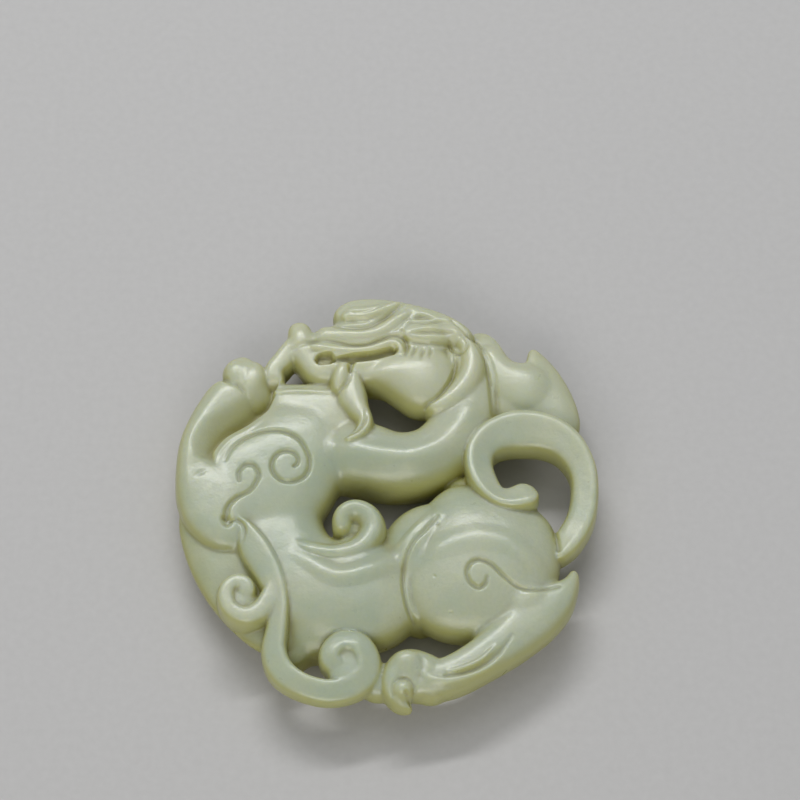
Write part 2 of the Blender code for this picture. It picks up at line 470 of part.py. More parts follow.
def grooves():
    """The carved lines, pits and crests, each in rows of (x, y, width, depth)."""
    mouth = [
        groove((-9.2, 20.7, 1.3, 1.3), (-8.4, 20.7, 1.3, 1.3), wall=0.7),
        groove((-7.4, 20.4, 0.7, 0.9), (-5.0, 20.6, 0.9, 1.3), (-2.0, 20.9, 0.9, 1.3),
               (0.4, 21.5, 0.9, 1.2), wall=0.8),
        groove((-5.0, 20.4, 0.8, 1.0), (-5.2, 18.8, 0.6, 0.6)),
    ]
    head = [
        groove((-12.0, 23.0, 0.7, 0.2), (-9.0, 23.6, 0.8, 0.4), (-5.0, 22.9, 0.8, 0.5),
               (-2.0, 23.1, 0.8, 0.5), (0.6, 24.0, 0.7, 0.5), (2.5, 22.9, 0.7, 0.5),
               (2.4, 20.6, 0.6, 0.3)),
        groove((9.3, 22.2, 0.7, 0.3), (9.3, 19.8, 0.7, 0.5), (8.7, 17.2, 0.7, 0.5),
               (7.2, 14.8, 0.7, 0.5), (5.2, 13.2, 0.7, 0.4)),
        groove((9.3, 26.4, 0.6, 0.3), (12.4, 22.8, 0.7, 0.6), (13.8, 18.8, 0.7, 0.7),
               (14.5, 14.5, 0.7, 0.6)),
        groove((3.6, 24.4, 0.6, 0.3), (6.2, 24.6, 0.7, 0.5), (8.8, 24.7, 0.6, 0.3)),
    ]
    shoulder = [
        groove((-22.2, 4.9, 0.5, 0.2), (-20.5, 7.5, 0.6, 0.5), (-17.4, 9.1, 0.6, 0.6),
               (-14.2, 9.1, 0.65, 0.7), (-11.9, 7.7, 0.65, 0.7), (-10.8, 5.6, 0.65, 0.7),
               *spiral((-13.4, 4.2), (2.7, 2.8), (0, -100), (0.6, 0.6), (0.7, 0.7), steps=4),
               *spiral((-13.4, 4.2), (2.7, 0.8), (-125, -400), (0.6, 0.5), (0.7, 0.6), steps=9)),
        groove((-20.2, 1.7, 0.6, 0.4), (-20.0, 3.6, 0.6, 0.5), (-18.4, 3.9, 0.6, 0.5),
               (-17.6, 2.1, 0.6, 0.5), (-18.9, 0.0, 0.6, 0.6), (-21.2, -1.8, 0.7, 0.8),
               (-21.8, -4.6, 0.8, 1.4)),
        groove((-23.6, 4.2, 0.3, 0.1), (-23.9, 5.2, 0.5, 0.4), (-24.2, 6.9, 0.9, 1.0),
               (-22.4, 9.2, 1.0, 1.5),
               (-19.4, 11.3, 1.0, 1.7), (-17.2, 13.2, 1.0, 1.5), (-16.0, 15.6, 0.9, 1.0),
               left=3.8, right=0.7),
    ]
    crests = [
        groove((-7.0, 7.0, 2.6, -0.3), (-1.0, 5.5, 2.6, -0.4), (3.4, 5.0, 2.6, -0.4),
               (8.0, 7.2, 2.6, -0.4), (11.0, 12.0, 2.4, -0.3)),
        groove((-13.0, -8.6, 2.0, -0.05), (-10.0, -11.0, 2.2, -0.35), (-6.0, -13.2, 2.4, -0.5),
               (1.0, -10.2, 2.4, -0.5), (6.4, -3.6, 1.8, -0.3)),
    ]
    haunch = [
        groove((13.2, -13.6, 0.6, 0.3), (12.2, -15.0, 0.7, 0.6), (10.8, -14.1, 0.7, 0.7),
               (10.5, -12.5, 0.7, 0.7), (11.6, -11.3, 0.7, 0.7), (13.6, -11.7, 0.7, 0.7),
               (16.2, -14.1, 0.7, 0.7), (19.0, -15.0, 0.7, 0.6), (22.8, -14.2, 0.7, 0.4)),
        groove((6.6, -4.0, 0.7, 0.4), (3.4, -7.8, 0.7, 0.6), (2.1, -12.0, 0.7, 0.6),
               (2.5, -16.8, 0.8, 0.7), (3.8, -19.2, 0.9, 0.7)),
        groove((7.6, -27.4, 0.7, 0.2), (11.0, -26.6, 0.8, 0.5), (13.8, -25.0, 0.8, 0.5),
               (16.0, -22.2, 0.7, 0.2)),
        groove((2.4, -30.1, 0.6, 0.8), (3.4, -31.2, 0.6, 1.2)),
    ]
    return mouth + head + shoulder + crests + haunch


def jade_material():
    """Polished pale celadon nephrite."""
    material = bpy.data.materials.new("celadon_nephrite")
    material.use_nodes = True
    shader = material.node_tree.nodes["Principled BSDF"]
    shader.inputs["Base Color"].default_value = (0.55, 0.60, 0.44, 1.0)
    shader.inputs["Roughness"].default_value = 0.22
    shader.inputs["Metallic"].default_value = 0.0
    return material


def sculpt(step):
    """The whole dragon as one closed mesh, its back still rounded."""
    body = fused(body_forms(), "body", CARVING_STEP, BODY_SOFTNESS)
    thigh = fused(thigh_forms(), "thigh", CARVING_STEP, THIGH_SOFTNESS)
    paw = fused(paw_forms(), "paw", CARVING_STEP, PAW_SOFTNESS)
    foot = fused(foot_forms(), "foot", CARVING_STEP, PAW_SOFTNESS)
    head = fused(head_forms(), "head", CARVING_STEP, HEAD_SOFTNESS)
    mane = fused(mane_forms(), "mane", CARVING_STEP, PAW_SOFTNESS)
    forms = [body, thigh, paw, foot, head, mane] + crisp_head_forms() + ribbon_forms()
    dragon = fused(forms, "dragon_pendant", step, POLISH_SOFTNESS)
    carve(dragon)
    return dragon


def put_in(obj, collection):
    """Moves an object into a collection and out of every other one."""
    for old in list(obj.users_collection):
        old.objects.unlink(obj)
    collection.objects.link(obj)


def main():
    for obj in list(bpy.data.objects):
        bpy.data.objects.remove(obj, do_unlink=True)
    pendant = bpy.data.collections.new("jade_dragon_pendant")
    cutters = bpy.data.collections.new("cutters")
    for collection in (pendant, cutters):
        bpy.context.scene.collection.children.link(collection)

    dragon = sculpt(CARVING_STEP)
    faces = 2 * len(dragon.data.polygons)
    apply_modifier(dragon, "DECIMATE", ratio=FACE_COUNT / faces)
    dragon.data.materials.append(jade_material())
    put_in(dragon, pendant)

    bpy.ops.mesh.primitive_cube_add(size=1.0, location=(0.0, 0.0, -PENDANT_THICKNESS / 2))
    floor_cut = bpy.context.object
    floor_cut.name = "back_plane_cut"
    floor_cut.scale = (2 * PENDANT_WIDTH, 2 * PENDANT_HEIGHT, PENDANT_THICKNESS)
    put_in(floor_cut, cutters)
    floor_cut.hide_render = True
    floor_cut.display_type = "WIRE"
    cut = dragon.modifiers.new("flat back", "BOOLEAN")
    cut.operation = "DIFFERENCE"
    cut.object = floor_cut


main()
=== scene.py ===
"""The jade dragon pendant as it looks: every carved line, the polished stone, floor and light.

The dragon lies on its back face with its head at the far edge, facing left.
"""

import math

import bpy
import numpy as np
from mathutils import Matrix, Vector


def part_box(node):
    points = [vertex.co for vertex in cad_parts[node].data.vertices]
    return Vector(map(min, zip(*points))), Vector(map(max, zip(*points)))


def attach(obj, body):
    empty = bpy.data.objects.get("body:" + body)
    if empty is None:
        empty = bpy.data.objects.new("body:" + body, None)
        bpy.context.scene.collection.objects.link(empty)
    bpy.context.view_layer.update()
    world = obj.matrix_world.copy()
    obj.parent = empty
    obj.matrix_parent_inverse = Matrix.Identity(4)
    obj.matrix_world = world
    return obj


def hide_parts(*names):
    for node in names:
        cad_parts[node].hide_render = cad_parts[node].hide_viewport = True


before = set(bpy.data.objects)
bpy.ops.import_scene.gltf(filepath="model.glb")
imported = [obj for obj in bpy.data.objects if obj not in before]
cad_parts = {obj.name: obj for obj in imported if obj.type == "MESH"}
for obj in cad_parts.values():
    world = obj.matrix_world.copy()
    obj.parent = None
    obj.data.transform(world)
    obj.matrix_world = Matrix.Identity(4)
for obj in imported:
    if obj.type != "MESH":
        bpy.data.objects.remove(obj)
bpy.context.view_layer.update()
NODE = "dragon_pendant"
low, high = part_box(NODE)

# The carver's grid: 57.8 by 63.0 squares over the face and 10 levels up from the back.
# Every form below is placed in squares, counted from a point in the pendant's middle gap,
# and the whole is then moved so that the middle of its outline is at the origin.
GRID = np.array([(high.x - low.x) / 57.8, (high.y - low.y) / 63.0, (high.z - low.z) / 10.0])
CENTRE = np.array([-0.18, -0.22, 0.0])

# Fineness of the stone's skin, in metres, and how softly its forms run together
FORM_STEP = 0.00030
SKIN_STEP = 0.00016
BODY_SOFTNESS = 0.0018
THIGH_SOFTNESS = 0.0014
HEAD_SOFTNESS = 0.0011
PAW_SOFTNESS = 0.0009
POLISH_SOFTNESS = 0.0006
LAST_POLISH_PASSES = 2
MOST_TRIANGLES = 190000
LIMB_FULLNESS = 2.4
BACK_FULLNESS = 2.6

# How the marks that paint shade and glow onto the stone are measured: lengths in metres, and
# rounds of averaging
MAP_CELL = 0.0005
MAP_MARGIN = 0.005
MAP_ROUNDS = 24
DEEPEST_OPENING = 0.004
DEEPEST_CREASE = 0.00010
DEEPEST_HOLLOW = 0.00060
CREASE_ROUNDS = 12
HOLLOW_ROUNDS = 70

# Tints of the stone; those for flanks, low walls, openings and hollows are painted shade and
# glow, the crease tint is partly so and the head's cream is partly painted light
GREEN_STONE = (0.49, 0.56, 0.42, 1.0)
PALE_STONE = (0.60, 0.64, 0.48, 1.0)
WARM_PATCH = (0.56, 0.58, 0.40, 1.0)
GREEN_FELT = (0.42, 0.49, 0.36, 1.0)
# Cream of the head: partly the stone's own warm tone, partly painted light where the head faces
# the lamps
CREAM_AND_LIT_HEAD = (0.74, 0.74, 0.54, 1.0)
# Painted shade and glow: yellow on the steep walls
YELLOW_FLANK_SHADE = (0.49, 0.49, 0.18, 1.0)
# Painted shade and glow: olive, darker towards the bottom of the walls
OLIVE_LOW_SHADE = (0.34, 0.33, 0.07, 1.0)
# Painted shade and glow: olive deep in the openings and recesses
OLIVE_OPENING_SHADE = (0.35, 0.33, 0.07, 1.0)
# Painted shade: olive in the broad hollows
OLIVE_HOLLOW_SHADE = (0.42, 0.38, 0.10, 1.0)
# Fine creases: brown, partly staining and partly painted shade
BROWN_CREASE_STAIN_AND_SHADE = (0.34, 0.31, 0.10, 1.0)
BROWN_SPECK = (0.30, 0.27, 0.14, 1.0)
LIGHT_PAPER = (0.66, 0.65, 0.64, 1.0)
DULL_PAPER = (0.60, 0.59, 0.58, 1.0)
SKY = (0.93, 0.96, 1.0, 1.0)

# How light goes through polished nephrite
JADE_IOR = 1.61
GLOW_WEIGHT = 0.85
GLOW_RADIUS = (1.0, 0.88, 0.42)
GLOW_SCALE = 0.0026
WAX_WEIGHT = 0.06
WAX_ROUGHNESS = 0.12
BUMP_STRENGTH = 0.38
BUMP_DISTANCE = 0.00006

# Camera, as the photograph was taken
CAMERA_ELEVATION = 62.0
CAMERA_DISTANCE = 0.450
AIM_HEIGHT = 0.004
FRAME_PIXELS = 800.0
FOCAL_PIXELS = 3290.0
AIM_PIXEL_X = 388.0
AIM_PIXEL_Y = 506.0
SENSOR_MM = 36.0


def smooth_path(rows, closed=False, steps=12):
    """A smooth curve through the rows; every column is carried along."""
    rows = np.array(rows, float)
    if closed:
        padded = np.vstack([rows[-1:], rows, rows[:2]])
        spans = len(rows)
    else:
        padded = np.vstack([2 * rows[0] - rows[1], rows, 2 * rows[-1] - rows[-2]])
        spans = len(rows) - 1
    t = np.linspace(0.0, 1.0, steps, endpoint=False)[:, None]
    pieces = []
    for i in range(spans):
        a, b, c, d = padded[i:i + 4]
        bend = (2 * a - 5 * b + 4 * c - d) * t ** 2 + (3 * b - a - 3 * c + d) * t ** 3
        pieces.append(0.5 * (2 * b + (c - a) * t + bend))
    if not closed:
        pieces.append(rows[-1:])
    return np.vstack(pieces)


def path_length(points):
    """Distance run along a path at each of its points."""
    return np.r_[0.0, np.cumsum(np.linalg.norm(np.diff(points[:, :2], axis=0), axis=1))]


def spiral(centre, radii, angles, *ends, steps=12):
    """Rows on a spiral: radii and angles give start and end, and so does each pair in ends."""
    rows = []
    for i in range(steps + 1):
        f = i / steps
        radius = radii[0] + (radii[1] - radii[0]) * f
        angle = math.radians(angles[0] + (angles[1] - angles[0]) * f)
        row = [centre[0] + radius * math.cos(angle), centre[1] + radius * math.sin(angle)]
        row += [start + (end - start) * f for start, end in ends]
        rows.append(tuple(row))
    return rows


def superellipse(angle, fullness):
    """Cosine and sine of a superellipse, so that fullness above 2 squares the section."""
    c, s = np.cos(angle), np.sin(angle)
    return np.sign(c) * np.abs(c) ** (2 / fullness), np.sign(s) * np.abs(s) ** (2 / fullness)


def vertices_of(mesh):
    """Places of a mesh's vertices, a row each."""
    co = np.empty(len(mesh.vertices) * 3)
    mesh.vertices.foreach_get("co", co)
    return co.reshape(-1, 3)


def normals_of(mesh):
    """Normals at a mesh's vertices, a row each."""
    normals = np.empty(len(mesh.vertices) * 3)
    mesh.vertices.foreach_get("normal", normals)
    return normals.reshape(-1, 3)


def drawn_sphere(name, sides, rings, place):
    """A UV sphere with every vertex moved to place(polar angle, azimuth), in grid units."""
    bpy.ops.mesh.primitive_uv_sphere_add(segments=sides, ring_count=rings, radius=1.0)
    obj = bpy.context.object
    obj.name = name
    co = vertices_of(obj.data)
    polar = np.arccos(np.clip(co[:, 2], -1.0, 1.0))
    azimuth = np.arctan2(co[:, 1], co[:, 0])
    co = (place(polar, azimuth) - CENTRE) * GRID
    obj.data.vertices.foreach_set("co", co.ravel())
    bpy.ops.object.mode_set(mode="EDIT")
    bpy.ops.mesh.select_all(action="SELECT")
    bpy.ops.mesh.normals_make_consistent(inside=False)
    bpy.ops.object.mode_set(mode="OBJECT")
    return obj


def limb(name, rows, fullness=LIMB_FULLNESS, back=BACK_FULLNESS, tilt=0.0, dish=0.0, sides=48,
         spacing=0.3):
    """A sphere drawn out along rows of (x, y, half width, top, bottom).

    tilt raises the left side of the path and lowers the right one, and dish hollows the top.
    """
    fine = smooth_path(rows)
    run = path_length(fine)
    length = run[-1]
    caps = [min(end, 0.45 * length) for end in (fine[0, 2], fine[-1, 2])]
    quarter = 1.0 - np.cos(np.linspace(0.0, math.pi / 2, 12))
    middle = max(3, int((length - sum(caps)) / spacing))
    stations = np.concatenate([
        caps[0] * quarter,
        np.linspace(caps[0], length - caps[1], middle)[1:-1],
        (length - caps[1] * quarter)[::-1],
    ])
    at = np.stack([np.interp(stations, run, column) for column in fine.T], axis=1)
    heading = np.gradient(at[:, :2], stations, axis=0)
    heading /= np.linalg.norm(heading, axis=1)[:, None]
    squeeze = np.ones(len(stations))
    for cap, away in ((caps[0], stations), (caps[1], length - stations)):
        inside = np.clip(1.0 - away / cap, 0.0, 1.0)
        squeeze *= np.sqrt(1.0 - inside ** 2)
    squeeze[0] = squeeze[-1] = 0.0
    rings = len(stations) - 1

    def place(polar, azimuth):
        k = np.rint(polar / math.pi * rings).astype(int)
        x, y, width, top, bottom = at[k].T
        across_up, rise_up = superellipse(azimuth, fullness)
        across_low, rise_low = superellipse(azimuth, back)
        upper = azimuth >= 0
        across = np.where(upper, across_up, across_low)
        middle_z = (top + bottom) / 2
        crest = top + tilt * across - dish * (1.0 - across ** 2)
        rise = np.where(upper, (crest - middle_z) * rise_up, (middle_z - bottom) * rise_low)
        s = squeeze[k]
        offset = width * s * across
        return np.stack([x - heading[k, 1] * offset, y + heading[k, 0] * offset,
                         middle_z + rise * s ** (2 / fullness)], axis=1)

    return drawn_sphere(name, sides, rings, place)


def lobe(name, outline, centre, top, bottom, fullness=LIMB_FULLNESS, back=BACK_FULLNESS,
         slope=(0.0, 0.0), sides=144, rings=56):
    """A sphere spread out to a plan outline seen from its centre, with a sloping top."""
    edge = smooth_path(outline, closed=True) - centre
    bearing = np.arctan2(edge[:, 1], edge[:, 0])
    order = np.argsort(bearing)
    reach = np.hypot(edge[:, 0], edge[:, 1])[order]
    bearing = bearing[order]

    def place(polar, azimuth):
        upper = polar <= math.pi / 2 + 1e-6
        rise_up, spread_up = superellipse(polar, fullness)
        rise_low, spread_low = superellipse(polar, back)
        spread = np.where(upper, spread_up, spread_low)
        radius = np.interp(azimuth, bearing, reach, period=2 * math.pi) * spread
        dx, dy = radius * np.cos(azimuth), radius * np.sin(azimuth)
        middle_z = (top + bottom) / 2
        crest = top + slope[0] * dx + slope[1] * dy
        rise = np.where(upper, (crest - middle_z) * rise_up, (middle_z - bottom) * rise_low)
        return np.stack([centre[0] + dx, centre[1] + dy, middle_z + rise], axis=1)

    return drawn_sphere(name, sides, rings, place)


def dome(name, centre, radii, top, bottom, turn=0.0, fullness=LIMB_FULLNESS, back=BACK_FULLNESS,
         slope=(0.0, 0.0), sides=96):
    """A lobe with an elliptical outline."""
    a = np.radians(np.arange(0, 360, 15))
    c, s = math.cos(math.radians(turn)), math.sin(math.radians(turn))
    ex, ey = radii[0] * np.cos(a), radii[1] * np.sin(a)
    outline = np.stack([centre[0] + ex * c - ey * s, centre[1] + ex * s + ey * c], axis=1)
    return lobe(name, outline, centre, top, bottom, fullness, back, slope, sides)


def body_forms():
    """Shoulder, chest, belly, loin and neck, and the foreleg that grows out of the shoulder."""
    return [
        lobe("shoulder", [(-6.0, 14.0), (-9.0, 16.5), (-14.5, 16.6), (-18.0, 14.2),
                          (-21.0, 11.6), (-24.6, 9.4), (-26.8, 5.0), (-26.4, -1.0), (-22.5, -6.0),
                          (-17.0, -8.5), (-11.5, -6.8), (-8.6, -2.0), (-6.2, 3.0), (-4.6, 8.6)],
             (-15.0, 5.5), 8.9, -0.6, fullness=2.5),
        lobe("chest", [(-3.2, 14.6), (-4.0, 17.0), (-7.0, 17.9), (-12.0, 18.1), (-16.2, 17.8),
                       (-17.6, 15.6), (-16.8, 11.5), (-12.0, 8.0), (-6.0, 8.0), (-3.0, 11.0)],
             (-10.5, 13.2), 8.0, 0.4, fullness=3.4),
        limb("belly", [(-16.4, 1.0, 6.6, 8.2, -0.6), (-15.9, -3.5, 6.9, 8.3, -0.6),
                       (-13.2, -9.4, 6.9, 8.6, -0.6), (-8.4, -13.4, 8.2, 9.1, -0.6),
                       (-2.0, -13.3, 9.0, 9.4, -0.6), (4.0, -11.4, 9.0, 9.2, -0.6)],
             fullness=2.3),
        dome("rump", (-8.8, -17.4), (6.6, 6.0), 7.3, -0.4),
        limb("web", [(-9.5, -18.0, 3.5, 6.6, 0.6), (-11.7, -21.4, 2.6, 5.8, 0.8),
                     (-14.2, -24.6, 1.8, 5.2, 1.6)]),
        dome("crease_foot", (4.4, -16.9), (2.4, 2.2), 7.0, -0.4),
        dome("loin", (6.6, -8.2), (7.8, 8.0), 8.9, -0.6, fullness=2.3),
        limb("neck", [(-9.5, 8.2, 5.0, 8.6, -0.4), (-4.0, 7.2, 5.3, 8.9, -0.6),
                      (1.0, 5.7, 4.8, 9.3, -0.6), (5.8, 6.6, 4.6, 9.5, -0.6),
                      (9.6, 10.3, 4.8, 9.3, -0.4), (10.9, 15.0, 4.5, 9.0, 0.2),
                      (10.6, 20.0, 4.1, 8.6, 0.8), (8.0, 24.0, 3.6, 8.4, 1.4)],
             fullness=2.25),
        limb("forearm", [(-20.4, 18.8, 3.4, 8.8, 1.6), (-21.5, 15.0, 4.2, 8.8, 1.2),
                         (-23.9, 11.8, 3.6, 8.7, 1.4), (-25.8, 8.4, 2.9, 8.7, 1.6),
                         (-26.3, 4.6, 2.8, 8.6, 1.8), (-25.6, 0.6, 3.4, 8.6, 1.8),
                         (-24.8, -3.6, 3.0, 8.2, 1.8)], tilt=-0.7, fullness=2.3),
        lobe("elbow", [(-28.8, 2.0), (-28.6, -1.0), (-27.8, -3.6), (-26.4, -5.8), (-24.4, -7.6),
                       (-22.2, -8.4), (-20.2, -8.0), (-18.8, -6.6), (-18.0, -4.0), (-18.6, 0.0),
                       (-20.6, 4.0), (-24.0, 6.6), (-27.0, 6.0)], (-23.5, -1.0), 8.7, 1.8,
             fullness=3.2),
    ]


def paw_forms():
    """The forepaw, at the far end of the foreleg."""
    return [
        lobe("palm", [(-23.1, 19.4), (-22.8, 20.6), (-21.6, 21.8), (-20.0, 22.2), (-18.4, 21.2),
                      (-17.0, 19.6), (-16.2, 17.4), (-15.9, 15.0), (-18.0, 13.0), (-20.6, 14.2),
                      (-22.2, 16.6), (-22.7, 18.2)], (-19.6, 18.0), 8.8, 2.2, fullness=2.3),
        dome("outer_toe", (-21.0, 19.0), (2.0, 2.5), 8.8, 3.0),
        dome("inner_toe", (-18.6, 17.8), (2.0, 3.4), 8.9, 3.0),
    ]


def thigh_forms():
    """The haunch and the hind leg, which flow into each other at the hock."""
    return [
        lobe("haunch", [(23.3, -9.6), (22.6, -4.6), (20.2, -1.4), (16.5, 0.8), (12.6, 2.0),
                        (9.0, 2.2), (6.4, 0.6), (4.0, -2.6), (2.1, -6.6), (1.5, -11.0),
                        (1.9, -15.0), (3.8, -18.4), (7.0, -20.4), (11.2, -20.9), (15.6, -20.0),
                        (19.4, -17.6), (22.3, -13.8)], (12.8, -9.6), 10.0, -0.6, fullness=2.25),
        limb("hock", [(25.1, -10.9, 0.5, 7.0, 4.2), (24.5, -13.2, 1.3, 7.8, 3.4),
                      (22.4, -15.8, 2.8, 8.4, 2.8),
                      (19.4, -18.2, 3.7, 8.7, 2.6), (15.8, -21.6, 3.3, 8.6, 2.6),
                      (12.0, -24.5, 2.9, 8.5, 2.8), (8.4, -26.6, 2.8, 8.4, 3.0),
                      (5.0, -27.4, 2.8, 8.4, 3.2), (1.0, -27.4, 2.6, 8.3, 3.4)],
             fullness=2.7),
        limb("flank", [(15.4, -17.8, 2.0, 8.3, 3.0), (18.4, -16.2, 2.6, 9.0, 3.0),
                       (21.4, -14.6, 1.9, 8.5, 3.0)], fullness=2.2),
    ]


def foot_forms():
    """The hind foot: arched over the knuckle, with a toe that ends in a claw."""
    return [
        limb("arch", [(7.6, -27.2, 2.2, 8.3, 3.2), (4.8, -26.3, 2.9, 8.6, 3.2),
                      (2.4, -25.9, 2.9, 8.9, 3.2), (0.9, -27.0, 1.9, 8.6, 3.2),
                      (0.6, -29.0, 1.5, 8.2, 3.4), (1.6, -30.7, 0.9, 7.4, 3.6),
                      (3.3, -31.4, 0.4, 6.6, 4.4)], fullness=2.2),
        dome("knuckle", (2.5, -25.3), (2.3, 1.9), 9.3, 3.6),
        dome("toe", (2.0, -29.2), (1.5, 1.5), 8.9, 3.8),
        dome("heel", (5.6, -28.0), (2.8, 2.4), 8.1, 3.2),
    ]


def head_forms():
    """The mass of the head, looking left."""
    return [
        limb("front", [(-12.4, 27.8, 1.5, 7.6, 3.8), (-12.3, 25.4, 1.8, 8.7, 3.6),
                       (-11.7, 22.8, 2.0, 8.7, 3.4), (-10.8, 20.5, 1.8, 8.6, 3.2),
                       (-9.3, 19.0, 1.7, 8.5, 3.0), (-6.8, 19.0, 1.6, 8.6, 3.0)]),
        dome("nose_root", (-13.1, 22.9), (1.5, 2.3), 8.4, 3.2),
        limb("mouth", [(-11.0, 21.4, 2.4, 8.7, 3.2), (-7.0, 20.8, 2.6, 8.9, 3.0),
                       (-3.0, 21.0, 2.6, 9.1, 3.0), (2.5, 21.8, 2.6, 9.4, 2.8)], fullness=3.4),
        limb("muzzle", [(-11.0, 24.2, 2.1, 8.7, 3.4), (-9.0, 24.1, 2.6, 8.9, 3.0),
                        (-5.0, 24.3, 3.2, 9.1, 2.6), (0.0, 24.8, 3.7, 9.3, 2.2),
                        (5.0, 24.9, 3.9, 9.4, 2.2), (9.0, 23.2, 3.5, 9.2, 2.2)]),
        limb("jaw", [(-5.4, 18.8, 0.9, 8.4, 2.8), (-3.0, 18.6, 1.7, 8.8, 2.4),
                     (2.0, 19.4, 2.8, 9.4, 2.2)]),
        limb("crown", [(-7.0, 26.8, 1.4, 8.2, 3.6), (-5.2, 28.7, 2.2, 8.6, 3.4),
                       (-1.0, 28.7, 2.5, 8.9, 3.0), (4.0, 27.7, 2.4, 9.0, 2.8),
                       (8.4, 25.9, 2.3, 9.0, 2.6), (11.6, 23.2, 2.1, 8.8, 2.4)]),
        lobe("cheek", [(9.7, 18.2), (9.2, 15.6), (7.6, 13.7), (5.3, 12.8), (3.0, 13.3),
                       (1.0, 14.8), (-0.8, 16.2), (-2.8, 17.2), (-4.4, 18.4), (-2.5, 21.4),
                       (2.0, 23.4), (6.0, 23.6), (9.0, 21.4)], (4.2, 18.2), 10.0, 2.2,
             fullness=2.4, slope=(0.0, -0.02)),
    ]


def mane_forms():
    """The mane, cut like a fish tail behind the neck."""
    return [
        lobe("mane", [(10.5, 22.0), (11.4, 26.0), (13.4, 26.6), (15.3, 25.1), (16.6, 22.3),
                      (17.4, 20.8), (18.4, 20.5), (19.2, 21.4), (19.5, 23.2), (20.3, 24.0),
                      (21.6, 23.0), (23.6, 20.5), (25.3, 17.2), (26.4, 13.8), (26.5, 11.2),
                      (25.4, 10.0), (20.0, 11.0), (15.5, 11.4), (12.5, 15.0)], (19.0, 16.8),
             7.3, 2.6, fullness=3.4),
        limb("mane_swell", [(12.8, 23.4, 2.2, 8.0, 4.0), (15.6, 19.2, 3.0, 8.1, 4.0),
                            (19.0, 17.2, 3.8, 8.2, 4.0), (22.6, 15.6, 3.6, 7.9, 4.0)]),
    ]


def crisp_head_forms():
    """The folds of the head: lip, brows, ruff, chin tuft and the lock from the nose."""
    return [
        limb("lip", [(-11.0, 22.8, 0.6, 8.8, 6.0), (-9.2, 22.5, 0.8, 9.1, 6.0),
                     (-7.0, 22.1, 0.8, 9.2, 6.0), (-4.5, 21.9, 0.8, 9.3, 6.0),
                     (-2.5, 22.1, 0.8, 9.4, 6.0), (-0.8, 22.6, 0.8, 9.6, 6.0),
                     (0.7, 23.0, 0.8, 9.7, 6.0), (1.7, 22.2, 0.7, 9.7, 6.0),
                     (1.7, 20.8, 0.6, 9.6, 6.0)], fullness=2.0),
        limb("brow", [(-6.6, 27.0, 0.7, 8.6, 4.0), (-5.2, 28.0, 1.5, 9.1, 4.0),
                      (-3.0, 28.0, 1.6, 9.35, 4.0), (-0.6, 28.7, 1.3, 9.3, 4.0),
                      (1.8, 29.8, 0.6, 9.0, 4.0)], fullness=2.0),
        limb("brow_ridge", [(-9.4, 25.2, 0.6, 8.8, 5.0), (-6.5, 24.7, 1.1, 9.1, 5.0),
                            (-3.4, 24.5, 1.2, 9.3, 5.0), (-1.0, 25.1, 1.3, 9.5, 5.0),
                            (1.0, 26.7, 1.2, 9.45, 5.0), (3.2, 28.4, 0.8, 9.1, 5.0)],
             fullness=2.0),
        limb("ruff", [(9.8, 24.4, 1.0, 9.0, 4.0), (11.4, 22.0, 1.8, 9.5, 4.0),
                      (11.6, 19.0, 2.1, 9.7, 4.0), (10.4, 16.2, 2.2, 9.7, 4.0),
                      (8.0, 13.9, 2.0, 9.5, 4.0), (5.0, 12.8, 1.3, 8.8, 4.0)], fullness=2.0),
        limb("strut", [(-12.6, 24.8, 1.2, 8.1, 3.4), (-13.4, 23.2, 1.5, 8.2, 3.2),
                       (-14.6, 21.4, 1.6, 8.1, 2.8), (-15.8, 19.6, 1.5, 8.1, 2.2),
                       (-15.6, 16.6, 1.6, 8.0, 2.0)], fullness=3.2),
        limb("tuft_bulb", [(-5.9, 20.4, 0.7, 8.9, 5.0), (-6.3, 18.9, 1.4, 9.5, 4.6),
                           (-6.7, 17.1, 1.4, 9.4, 4.6), (-7.0, 15.2, 0.8, 8.9, 5.0)],
             fullness=2.0),
        limb("tuft", [(-4.9, 19.2, 0.9, 8.9, 5.0), (-5.1, 17.0, 1.9, 9.1, 4.0),
                      (-5.0, 15.0, 2.3, 9.2, 3.6), (-4.2, 13.1, 1.8, 9.3, 3.6),
                      (-3.3, 11.3, 1.35, 9.6, 4.0), (-3.2, 9.9, 1.2, 9.7, 5.0),
                      (-4.0, 8.6, 0.9, 9.6, 6.0), (-5.9, 7.5, 0.5, 9.2, 6.0)], tilt=0.1,
             fullness=2.3),
    ]


